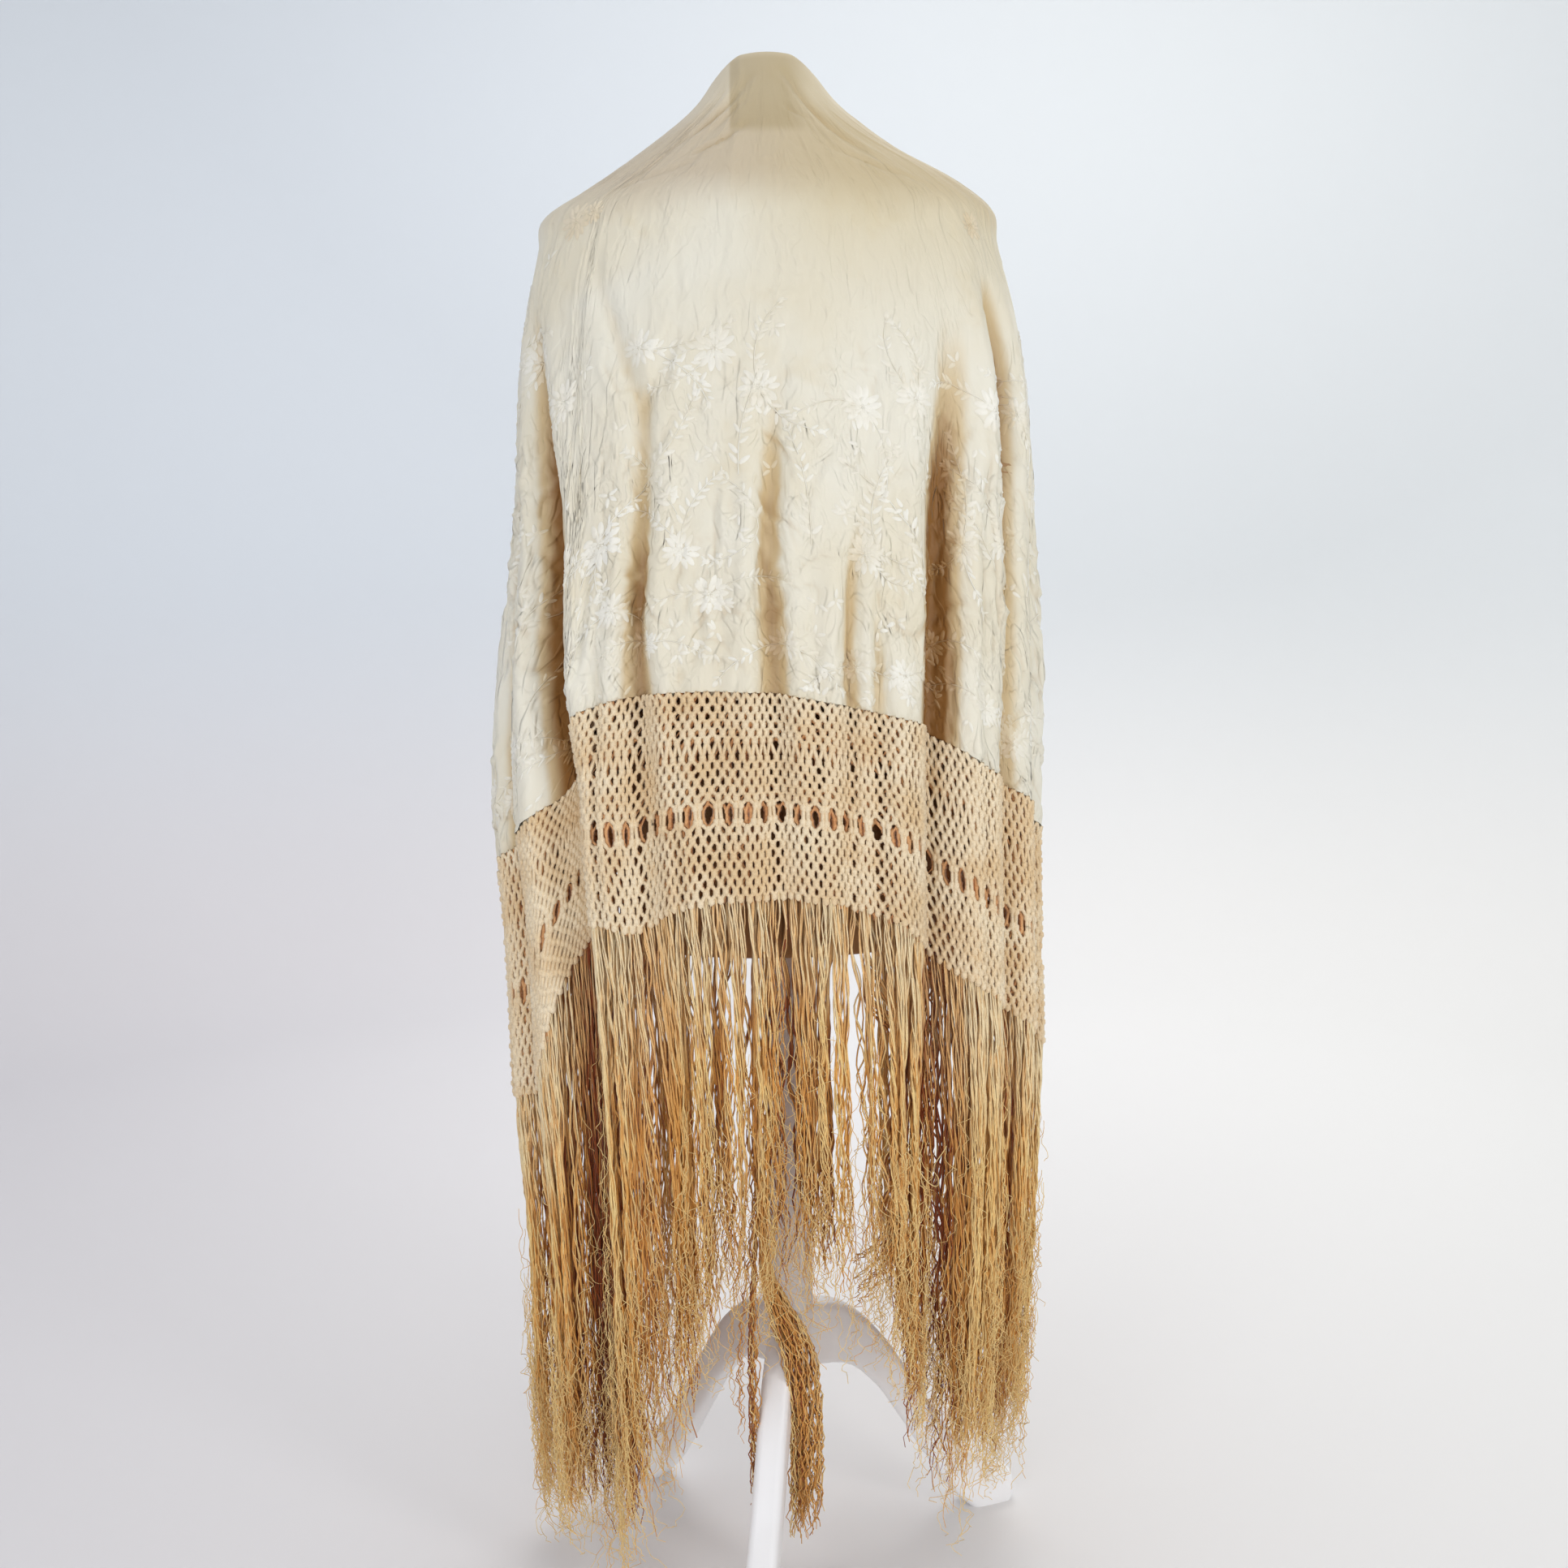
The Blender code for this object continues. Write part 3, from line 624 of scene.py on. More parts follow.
def padded_torso():
    deselect_all()
    before = FORM_FOOT
    bpy.ops.mesh.primitive_circle_add(vertices=FORM_SIDES, radius=1.0, fill_type="NGON",
                                      location=ring_middle(before))
    torso = bpy.context.object
    apply_place(torso)
    bpy.ops.object.mode_set(mode="EDIT")
    bpy.ops.mesh.select_all(action="SELECT")
    bpy.ops.transform.resize(value=(before.side, (before.back + before.front) / 2, 1),
                             center_override=ring_middle(before))
    bpy.ops.mesh.flip_normals()
    for ring in FORM_RINGS:
        move = Vector(ring_middle(ring)) - Vector(ring_middle(before))
        bpy.ops.mesh.extrude_region_move(TRANSFORM_OT_translate={"value": move})
        grown = (ring.back + ring.front) / (before.back + before.front)
        bpy.ops.transform.resize(value=(ring.side / before.side, grown, 1),
                                 center_override=ring_middle(ring))
        before = ring
    bpy.ops.mesh.select_all(action="SELECT")
    bpy.ops.mesh.normals_make_consistent(inside=False)
    pick(torso, lambda middle, part: len(part.verts) > 10)
    bpy.ops.mesh.inset(thickness=0.004, depth=0.0)
    bpy.ops.mesh.inset(thickness=0.012, depth=0.0)
    bpy.ops.object.mode_set(mode="OBJECT")
    rounding = torso.modifiers.new("rounding", "SUBSURF")
    rounding.levels = 2
    rounding.render_levels = 2
    bpy.ops.object.modifier_apply(modifier=rounding.name)
    return finished(torso, "jersey_form", form_cover, ("form_torso",), None)


torso = padded_torso()
torso.data.shade_smooth()
print("dress form:", len(torso.data.polygons), "faces")

# %% [markdown]
# ## How the cloth hangs
#
# One formula gives every point of the shawl, and the silk, the net and the fringe all ask it where
# they are. At each height the cloth is a ring round the form, given by a table of half widths. A
# second table says how far down the silk, the net and the strands reach, by the angle in degrees
# from the middle of the back. A cloth simulation could find such a shape by itself, but placing it
# from the tables puts the folds where they are wanted.

# %% The rings of the cloth
NECK_RIM = 1.419
NECK_DROP = 0.040
SHOULDER = 1.287
EDGE_ANGLE = 158.0
NECK_ANGLE = 120.0
SPREAD_END = 1.20

Section = namedtuple("Section", "height left right back front")
SECTIONS = (
    Section(1.421, 0.0370, 0.0370, 0.0370, 0.0320), Section(1.405, 0.0480, 0.0480, 0.0465, 0.0420),
    Section(1.382, 0.0650, 0.0660, 0.0590, 0.0560), Section(1.343, 0.1150, 0.1160, 0.0790, 0.0800),
    Section(1.306, 0.1730, 0.1820, 0.0960, 0.1000), Section(1.287, 0.2050, 0.2050, 0.1040, 0.1090),
    Section(1.260, 0.2110, 0.2090, 0.1120, 0.1180), Section(1.203, 0.2234, 0.2220, 0.1220, 0.1300),
    Section(1.150, 0.2300, 0.2310, 0.1280, 0.1370), Section(1.085, 0.2358, 0.2342, 0.1330, 0.1400),
    Section(0.980, 0.2433, 0.2358, 0.1380, 0.1400), Section(0.890, 0.2576, 0.2385, 0.1410, 0.1410),
    Section(0.800, 0.2667, 0.2390, 0.1430, 0.1420), Section(0.740, 0.2690, 0.2392, 0.1440, 0.1430),
    Section(0.650, 0.2630, 0.2400, 0.1440, 0.1430), Section(0.480, 0.2600, 0.2420, 0.1420, 0.1420),
    Section(0.300, 0.2580, 0.2370, 0.1380, 0.1400), Section(0.150, 0.2560, 0.2240, 0.1340, 0.1360),
    Section(0.000, 0.2460, 0.2120, 0.1300, 0.1320),
)
SECTION_HEIGHTS = [row.height for row in reversed(SECTIONS)]
SECTION_WIDTHS = {side: [getattr(row, side) for row in reversed(SECTIONS)]
                  for side in ("left", "right", "back", "front")}

Edge = namedtuple("Edge", "angle silk net strands")
EDGES = (
    Edge(-158, 0.800, 0.610, 0.215), Edge(-130, 0.710, 0.510, 0.110),
    Edge(-112, 0.650, 0.450, 0.055),
    Edge(-88, 0.690, 0.470, 0.085), Edge(-67, 0.721, 0.487, 0.120), Edge(-56, 0.746, 0.540, 0.100),
    Edge(-49, 0.766, 0.620, 0.080), Edge(-43, 0.840, 0.655, 0.076), Edge(-36, 0.850, 0.658, 0.095),
    Edge(-29.5, 0.856, 0.648, 0.130), Edge(-22, 0.859, 0.672, 0.250),
    Edge(-12, 0.860, 0.680, 0.318),
    Edge(0, 0.857, 0.681, 0.350), Edge(11, 0.848, 0.674, 0.330), Edge(24, 0.835, 0.654, 0.290),
    Edge(33.5, 0.825, 0.630, 0.200), Edge(41, 0.808, 0.602, 0.140), Edge(47, 0.790, 0.588, 0.120),
    Edge(58.5, 0.772, 0.565, 0.190), Edge(70.5, 0.754, 0.545, 0.185), Edge(90, 0.715, 0.505, 0.150),
    Edge(112, 0.650, 0.450, 0.100), Edge(130, 0.705, 0.505, 0.130), Edge(158, 0.805, 0.615, 0.220),
)
EASED_OVER = (-1.6, -0.8, 0, 0.8, 1.6)


def ease(f):
    """0 below 0, 1 above 1, and smooth in between."""
    f = np.clip(f, 0.0, 1.0)
    return f * f * (3.0 - 2.0 * f)


def half_width(side, height):
    return curve_through(height, SECTION_HEIGHTS, SECTION_WIDTHS[side])


def edge_height(angle, name):
    """Height where the silk, the net or the strands end. Its corners are eased a little."""
    places = [row.angle for row in EDGES]
    ends = [getattr(row, name) for row in EDGES]
    return sum(np.interp(angle + aside, places, ends) for aside in EASED_OVER) / len(EASED_OVER)


def spread(height):
    """Angle of the front edges at this height, as a share of their angle lower down."""
    opened = ease((NECK_RIM - height) / (NECK_RIM - SPREAD_END))
    return (NECK_ANGLE + (EDGE_ANGLE - NECK_ANGLE) * opened) / EDGE_ANGLE


print("hem heights from", min(e.silk for e in EDGES), "to", max(e.silk for e in EDGES))

# %% [markdown]
# ## Creases
#
# Each crease is a short list of knots: a height, the place round the form in degrees, how deep it
# is there in millimetres, and how wide in degrees. The deep ones lie where the real cloth has them.
# A negative depth makes a ridge.

# %% Creases pressed into the cloth
CREASES = (
    # The deep folds, each side of the middle of the back and round the sides
    ((1.22, -73, 0, 5), (1.17, -68, 7, 5), (1.10, -62.5, 15, 4.6), (1.03, -58, 24, 4.4),
     (0.96, -56, 29, 4.2), (0.88, -53, 32, 4.0), (0.83, -49.5, 32, 4.0), (0.77, -46.5, 31, 4.2)),
    ((1.20, 47, 0, 7), (1.16, 45, 4, 6), (1.09, 42.5, 12, 5.5), (1.03, 40.5, 21, 4.8),
     (0.96, 39.2, 27, 4.4), (0.89, 38.2, 31, 4.4), (0.83, 37.4, 31, 4.6), (0.64, 36.5, 30, 4.6)),
    ((1.18, -142, 0, 6), (1.00, -142, 9, 6), (0.80, -143, 14, 6)),
    ((1.24, -126, 0, 6), (1.10, -125, 13, 6), (0.85, -124, 26, 6)),
    ((1.22, -101, 0, 6), (1.08, -103, 15, 5.5), (0.90, -104, 30, 5.5)),
    ((1.22, 101, 0, 6), (1.08, 102, 14, 5.5), (0.90, 100, 28, 5.5)),
    ((1.24, 119, 0, 6), (1.10, 120, 13, 6), (0.85, 121, 26, 6)),
    ((1.18, 141, 0, 6), (1.00, 140, 9, 6), (0.80, 141, 14, 6)),
    ((1.14, -76, 0, 4), (0.98, -73, 5, 4), (0.80, -70, 8, 4.2), (0.70, -69, 9, 4.5)),
    ((1.23, 60, 0, 4), (1.19, 62, 9, 4.2), (1.12, 64.5, 20, 4.6), (1.06, 65.5, 23, 4.6),
     (1.02, 65.5, 14, 4.0), (0.94, 64, 10, 4.0), (0.80, 62, 11, 5), (0.70, 62, 12, 5)),
    # Narrow grooves down the back
    ((1.245, -46, 0, 2.5), (1.217, -42, 2.5, 2.6), (1.18, -37.5, 4.0, 2.8),
     (1.134, -32.5, 4.5, 2.6), (1.11, -30, 2.5, 2.4), (1.08, -29, 0, 2.2)),
    ((1.175, -19.5, 0, 2.2), (1.151, -22, 2.6, 2.4), (1.125, -25, 3.2, 2.4),
     (1.10, -27.5, 1.5, 2.2), (1.08, -28, 0, 2.0)),
    ((1.135, -28, 0, 3), (1.104, -28, 5.0, 3.0), (1.037, -28.3, 9.0, 2.6), (0.967, -29, 15.0, 2.3),
     (0.925, -29.4, 17, 2.3), (0.862, -28.4, 16, 2.8), (0.757, -26.2, 14, 3.6), (0.60, -27, 12, 4)),
    ((1.17, 2.2, 0, 3.5), (1.136, 1.7, 2.0, 3.0), (1.073, 0.1, 6.0, 2.4), (1.032, -0.5, 10.0, 2.1),
     (0.964, -1.3, 12.5, 2.2), (0.895, -0.8, 14.0, 2.6), (0.845, -0.6, 13.5, 3.0),
     (0.70, 0.3, 11.0, 4)),
    ((1.06, 19.5, 0, 3), (1.004, 18.1, 3.0, 2.4), (0.963, 15.9, 8.0, 2.0), (0.894, 14.9, 12.5, 1.9),
     (0.845, 15.6, 13.0, 2.2), (0.72, 15, 11.0, 3)),
    ((0.945, 21.3, 0, 1.6), (0.914, 21.2, 5.0, 1.3), (0.872, 22, 8.5, 1.3), (0.834, 21, 8.0, 2.0)),
    ((1.08, 28, 0, 2.2), (1.031, 27.2, 3.2, 1.6), (0.962, 26, 3.4, 1.5), (0.921, 24.3, 0, 1.6)),
    # Fine creases between the grooves
    ((0.995, -40.5, 0, 1.4), (0.955, -41.5, 3.0, 1.1), (0.905, -42.5, 4.5, 1.1),
     (0.875, -42, 2.0, 1.2), (0.858, -41, 0, 1.3)),
    ((0.90, -38.5, 0, 1.3), (0.875, -38, 4.0, 1.1), (0.855, -37, 4.0, 1.2)),
    ((0.935, -17, 0, 1.4), (0.905, -15.6, 3.6, 1.2), (0.885, -16.5, 3.4, 1.2),
     (0.865, -17.5, 0, 1.3)),
    ((0.895, -19.5, 0, 1.2), (0.875, -19, 3.0, 1.1), (0.858, -19.5, 2.5, 1.3)),
    ((0.89, -7.5, 0, 1.2), (0.872, -7, 3.4, 1.1), (0.857, -7.5, 2.5, 1.3)),
    ((0.95, -18.5, 0, 1.4), (0.935, -18.5, 1.8, 1.4), (0.92, -18.5, 0, 1.4)),
    ((1.05, -12, 0, 3), (0.97, -12.5, 2.0, 3), (0.90, -11, 3.0, 2.6), (0.84, -11, 3.4, 2.6)),
    ((1.00, 8, 0, 2.4), (0.94, 7.4, 2.2, 2.2), (0.88, 7.8, 3.6, 2.2), (0.83, 8, 4.0, 2.6)),
    ((1.12, 52, 0, 2.4), (1.02, 52, 2.4, 2.2), (0.92, 50, 3.2, 2.2), (0.80, 49, 3.4, 2.4)),
    ((1.00, 29, 0, 2), (0.93, 30, 2.4, 1.8), (0.86, 29.4, 3.4, 1.8), (0.81, 29, 3.4, 2)),
    ((1.10, -82, 0, 3), (0.98, -84, 4, 3), (0.80, -86, 6, 3.4)),
    ((1.12, 80, 0, 3), (0.98, 82, 4, 3), (0.80, 81, 6, 3.4)),
    # Where the cloth is drawn from the neck to the shoulders
    ((1.398, -16, 0, 9), (1.388, -24, 2.2, 6), (1.365, -33, 4.4, 3.4), (1.345, -39, 4.2, 2.4),
     (1.325, -44, 0, 2.2)),
    ((1.352, -9, 0, 5), (1.340, -16, 3.4, 3.0), (1.328, -25, 4.2, 2.4), (1.318, -33, 0, 2.4)),
    ((1.375, -20, 0, 4), (1.358, -26, 3.2, 2.6), (1.338, -31, 0, 2.4)),
    ((1.405, 22, 0, 9), (1.388, 30, 2.8, 5), (1.360, 35, 4.4, 3.0), (1.335, 38, 3.8, 2.4),
     (1.315, 41, 0, 2.4)),
    ((1.368, 15, 0, 4), (1.358, 20, 3.4, 2.6), (1.350, 26, 0, 2.6)),
    ((1.330, 22, 0, 4), (1.318, 30, 2.0, 2.6), (1.304, 40, 2.0, 2.4), (1.294, 48, 0, 2.4)),
    ((1.325, -20, 0, 4), (1.312, -30, 1.8, 2.6), (1.300, -40, 1.8, 2.4), (1.292, -47, 0, 2.4)),
    # A pressed line that stands up beside the neck block
    ((1.425, -50, 0, 8), (1.400, -33, -1.0, 5), (1.360, -18, -1.1, 2.2), (1.310, -11.5, -1.1, 1.6),
     (1.265, -9.8, -0.8, 1.6), (1.230, -9.5, 0, 1.8)),
    ((1.300, -66, 0, 4), (1.285, -68, 1.2, 3), (1.262, -71, 1.4, 2.6), (1.24, -73, 0, 2.4)),
    ((1.300, 57, 0, 4), (1.285, 59, 1.2, 3), (1.262, 60, 1.2, 2.6), (1.235, 60, 0, 2.4)),
)
print("creases:", len(CREASES))

# %% [markdown]
# ## From a place to a point
#
# A crease is a smooth trough across the ring, with a soft ridge along both sides, as
# folded cloth has. The formula gives the point of the cloth at an angle and a height, and
# the direction that points out of it there, so that a thread or a stitch can be laid a
# little above or below.

# %% The cloth formula
LIP = 0.22
LIP_PLACE = 2.1
LIP_WIDTH = 0.9
REACH = 5.0
TURN_STEP = 0.2


def crease_depth(angle, height):
    """How far the creases press the cloth in. A soft ridge stands up along both sides."""
    depth = np.zeros(np.broadcast(angle, height).shape)
    for crease in CREASES:
        levels, places, depths, widths = (np.array(column, float)[::-1] for column in zip(*crease))
        away = (angle - np.interp(height, levels, places)) / np.interp(height, levels, widths)
        pressed = np.interp(height, levels, depths) / 1000.0
        pressed = np.where(height > levels[-1], 0.0, pressed)
        away = np.where(np.abs(away) < REACH, away, REACH)
        ridge = np.exp(-((np.abs(away) - LIP_PLACE) / LIP_WIDTH) ** 2)
        depth += pressed * (np.exp(-away**2) - LIP * ridge)
    return depth


def cloth_ring(angle, height):
    turned = np.radians(angle * spread(height))
    side = np.where(angle > 0, half_width("right", height), half_width("left", height))
    deep = np.where(np.cos(turned) > 0, half_width("back", height), half_width("front", height))
    out_x, out_y = deep * np.sin(turned), -side * np.cos(turned)
    far = np.hypot(out_x, out_y)
    depth = crease_depth(angle, height)
    return (side * np.sin(turned) - out_x / far * depth,
            -deep * np.cos(turned) - out_y / far * depth)


def cloth(angle, height, inward=0.0):
    """Points of the cloth and the directions that point out of it, for arrays of places."""
    angle, height, inward = (np.array(a, float) for a in np.broadcast_arrays(angle, height, inward))
    x, y = cloth_ring(angle, height)
    x2, y2 = cloth_ring(angle + TURN_STEP, height)
    x1, y1 = cloth_ring(angle - TURN_STEP, height)
    run_x, run_y = x2 - x1, y2 - y1
    length = np.hypot(run_x, run_y)
    out = np.stack([run_y / length, -run_x / length, np.zeros_like(length)], -1)
    points = np.stack([x, y, height], -1) + AXIS - out * inward[..., None]
    return points, out


print("nape:", cloth(0.0, NECK_RIM)[0].round(3))

# %% [markdown]
# ## Along the hem
#
# The net is knotted to an even pitch, so its makers count along the hem and not in
# degrees. This small class measures the hem once and then turns distances along it into
# angles.

# %% Distances round the hem
HEM_SAMPLES = 3161


class HemLine:
    """Places round the silk's lower edge, by distance along it."""

    def __init__(self):
        self.angles = np.linspace(-EDGE_ANGLE, EDGE_ANGLE, HEM_SAMPLES)
        points, _ = cloth(self.angles, edge_height(self.angles, "silk"))
        runs = np.linalg.norm(np.diff(points, axis=0), axis=1)
        self.runs = np.concatenate([[0.0], np.cumsum(runs)])
        self.length = float(self.runs[-1])

    def angle_at(self, run):
        return np.interp(run, self.runs, self.angles)

    def run_at(self, angle):
        return np.interp(angle, self.angles, self.runs)


HEM = HemLine()
print("hem:", round(HEM.length, 3), "m round")

# %% [markdown]
# ## Silk
#
# The shawl is one square of crepe, folded in half. The fold lies round the neck block and
# runs down both front edges of the opening, so the outer half and the under half are one
# sheet. It is made as a grid of points from the formula: up the outer half from the hem,
# over the fold, and down the under half just inside it. A helper gives the height of each
# row, with fewer rows above the shoulders than below.

# %% Rows from the fold to the hem
COLUMNS = 400
TENT_ROWS = 58
HANGING_ROWS = 134
UNDER_ROWS = 40
LAYER_GAP = 0.0022
FRONT_DROP_FROM = 45.0


def rim_height(angle):
    """Height of the fold: level at the nape, lower where it leaves the neck in front."""
    forward = (np.abs(angle) - FRONT_DROP_FROM) / (EDGE_ANGLE - FRONT_DROP_FROM)
    return NECK_RIM - NECK_DROP * ease(forward)


def silk_heights(angle, tent_rows, hanging_rows):
    """Heights of the rows from the fold down to the hem, one column for each angle."""
    rim, hem = rim_height(angle), edge_height(angle, "silk")
    tent = np.linspace(0, 1, tent_rows + 1)[:, None]
    hanging = np.linspace(0, 1, hanging_rows + 1)[1:, None]
    return np.vstack([rim + (SHOULDER - rim) * tent, SHOULDER + (hem - SHOULDER) * hanging])


print("rows at the middle:", silk_heights(np.zeros(1), TENT_ROWS, HANGING_ROWS).shape[0])

# %% [markdown]
# ## Wrinkles
#
# Crepe that has been stored folded is full of small wrinkles. The soft ones are layered
# noise, stretched so that most of them run up and down. The sharp ones follow the lines
# where another noise is zero, and are broken up by a third. The tables give bumps for
# each metre across and down, the size in metres, and a seed.

# %% Wrinkles from noise
NOISE_CELLS = 128
NOISE_STEP = 0.0005
MOST_PINCHED = 1.65
Wave = namedtuple("Wave", "across down size seed")
WAVES = (
    Wave(12.0, 2.6, 0.0042, 11), Wave(25.0, 4.0, 0.0034, 12),
    Wave(55.0, 10.0, 0.0013, 13), Wave(90.0, 45.0, 0.0005, 14),
)
Line = namedtuple("Line", "across down lean width size seed")
LINES = (
    Line(24.0, 6.0, 5.0, 0.0042, 0.0030, 21), Line(26.0, 8.0, -14.0, 0.0040, 0.0026, 22),
    Line(20.0, 11.0, 36.0, 0.0040, 0.0024, 23), Line(20.0, 11.0, -42.0, 0.0038, 0.0024, 24),
    Line(36.0, 16.0, 12.0, 0.0034, 0.0015, 25),
)


def smooth_noise(x, y, seed):
    """Soft random heights from about -1 to 1, with one bump or hollow for each unit."""
    lean = np.random.default_rng(seed).uniform(0, 2 * np.pi, (NOISE_CELLS, NOISE_CELLS))
    left, low = np.floor(x).astype(int), np.floor(y).astype(int)
    u, v = x - left, y - low

    def corner(i, j):
        turn = lean[(low + j) % NOISE_CELLS, (left + i) % NOISE_CELLS]
        return np.cos(turn) * (u - i) + np.sin(turn) * (v - j)

    along, up = ease(u), ease(v)
    lower = corner(0, 0) * (1 - along) + corner(1, 0) * along
    upper = corner(0, 1) * (1 - along) + corner(1, 1) * along
    return 1.4 * (lower * (1 - up) + upper * up)


def distance_to_line(line, runs, heights, wander):
    """Metres to the nearest line of one kind: where a noise is 0, over how steep it is there."""
    turn = math.radians(line.lean)

    def level(run, height):
        u = run * math.cos(turn) + height * math.sin(turn)
        v = height * math.cos(turn) - run * math.sin(turn)
        return smooth_noise(u * line.across + wander, v * line.down, line.seed)

    here = level(runs, heights)
    slope = np.hypot(level(runs + NOISE_STEP, heights) - here,
                     level(runs, heights + NOISE_STEP) - here)
    return here / (slope / NOISE_STEP + 1.0)


def wrinkles(angles, runs, heights):
    """Small uneven wrinkles in metres, how pinched each place is, and how crumpled."""
    runs = np.broadcast_to(runs, heights.shape)
    low = ease((1.235 - heights) / 0.26)
    side = ease((np.abs(np.broadcast_to(angles, heights.shape)) - 40) / 25)
    much = 0.28 + 0.50 * low + 0.35 * side * low
    wander = 0.35 * smooth_noise(runs * 26, heights * 18, 4)
    push = np.zeros(heights.shape)
    pinched = np.zeros(heights.shape)
    for wave in WAVES:
        push += wave.size * much * smooth_noise(runs * wave.across + wander,
                                                heights * wave.down, wave.seed)
    for line in LINES:
        away = distance_to_line(line, runs, heights, wander) / line.width
        broken = ease(0.30 + 1.5 * smooth_noise(runs * 15, heights * 11, line.seed + 70))
        shape = MOST_PINCHED * away * np.exp(-away**2) * much * broken
        push += line.size * shape
        pinched += np.clip(-shape, 0, 1)
    return push, pinched, much


print("wrinkles:", len(WAVES), "soft kinds and", len(LINES), "sharp ones")

# %% [markdown]
# ## From arrays to a mesh
#
# The grids have tens of thousands of points, too many to add one by one. Blender takes
# whole arrays with `foreach_set`, and a mesh can also hold numbers for its points, which
# a finish reads by name.

# %% From a grid to a mesh
def normals_of(grid):
    """Directions out of a grid of points."""
    across = np.gradient(grid, axis=1)
    down = np.gradient(grid, axis=0)
    out = np.cross(down, across)
    return out / np.linalg.norm(out, axis=-1, keepdims=True)


def grid_faces(rows, columns):
    corner = np.arange((rows - 1) * columns).reshape(rows - 1, columns)[:, :-1]
    quads = np.stack([corner, corner + columns, corner + columns + 1, corner + 1], -1)
    return quads.reshape(-1, 4)


def mesh_of(name, points, faces, **stored):
    """A mesh from arrays of points and faces, with a number stored for each point."""
    mesh = bpy.data.meshes.new(name)
    faces = np.asarray(faces)
    mesh.vertices.add(len(points))
    mesh.vertices.foreach_set("co", np.ascontiguousarray(points, np.float32).ravel())
    mesh.loops.add(faces.size)
    mesh.loops.foreach_set("vertex_index", faces.astype(np.int32).ravel())
    mesh.polygons.add(len(faces))
    starts = np.arange(0, faces.size, faces.shape[1], dtype=np.int32)
    mesh.polygons.foreach_set("loop_start", starts)
    mesh.update(calc_edges=True)
    for key, values in stored.items():
        layer = mesh.attributes.new(key, "FLOAT", "POINT")
        layer.data.foreach_set("value", np.asarray(values, np.float32).ravel())
    mesh.validate()
    mesh.shade_smooth()
    return mesh


def piece_of(mesh, finish, replaced=()):
    obj = bpy.data.objects.new(mesh.name, mesh)
    bpy.context.scene.collection.objects.link(obj)
    return finished(obj, mesh.name, finish, replaced, None)


print("faces of a 3 by 3 grid:", len(grid_faces(3, 3)))

# %% [markdown]
# ## The half that shows
#
# The outer half is worked out first, because the embroidery needs its grid too. Its columns are
# closer together on the back. It remembers how deep each point lies in a crease or a wrinkle and
# how pinched it is, for the painted shade in its colour, and how crumpled, for its bump.

# %% The outer half
VALLEY_SHADE = 1.1
LOOSE_BELOW = 0.08
COLUMN_SAMPLES = 2001


def wrinkled(rows, heights, push):
    """Pushes a grid of cloth out and in by its wrinkles, which die out on the neck block."""
    loose = ease((NECK_RIM - heights) / LOOSE_BELOW)
    return rows + normals_of(rows) * (push * loose)[..., None]


def silk_columns():
    """Places of the grid's columns along the hem: closer on the back, wider in front."""
    runs = np.linspace(0, HEM.length, COLUMN_SAMPLES)
    crowd = 1.0 - 0.55 * ease((np.abs(HEM.angle_at(runs)) - 95) / 20)
    total = np.concatenate([[0], np.cumsum((crowd[1:] + crowd[:-1]) / 2)])
    return np.interp(np.linspace(0, total[-1], COLUMNS + 1), total, runs)


silk_runs = silk_columns()
silk_angles = HEM.angle_at(silk_runs)
outer_heights = silk_heights(silk_angles, TENT_ROWS, HANGING_ROWS)
outer_rows, outer_out = cloth(silk_angles[None, :], outer_heights)
outer_push, outer_pinch, outer_much = wrinkles(silk_angles, silk_runs, outer_heights)
outer_rows = wrinkled(outer_rows, outer_heights, outer_push)
outer_hollow = crease_depth(silk_angles[None, :], outer_heights)
# Painted shade: wrinkle valleys count as deeper, so the finish darkens them as it darkens the
# folds.
outer_hollow = outer_hollow + VALLEY_SHADE * np.maximum(-outer_push, 0)
print("outer half:", outer_rows.shape[:2], "points")


# %% [markdown]
# ## The whole sheet
#
# Three short rows make the rounded fold, and the under half follows the outer one a
# little further in. A UV map keeps the flat cut in metres, so that the crepe's grain
# follows the cloth.

# %% One folded sheet
FOLD_ROWS = ((0.0006, 0.0003), (0.0010, 0.0011), (0.0006, 0.0019))
UNDER_SHADE_DEPTH = 0.004
UNDER_CRUMPLE = 0.3
SMOOTH_ABOVE = 1.385


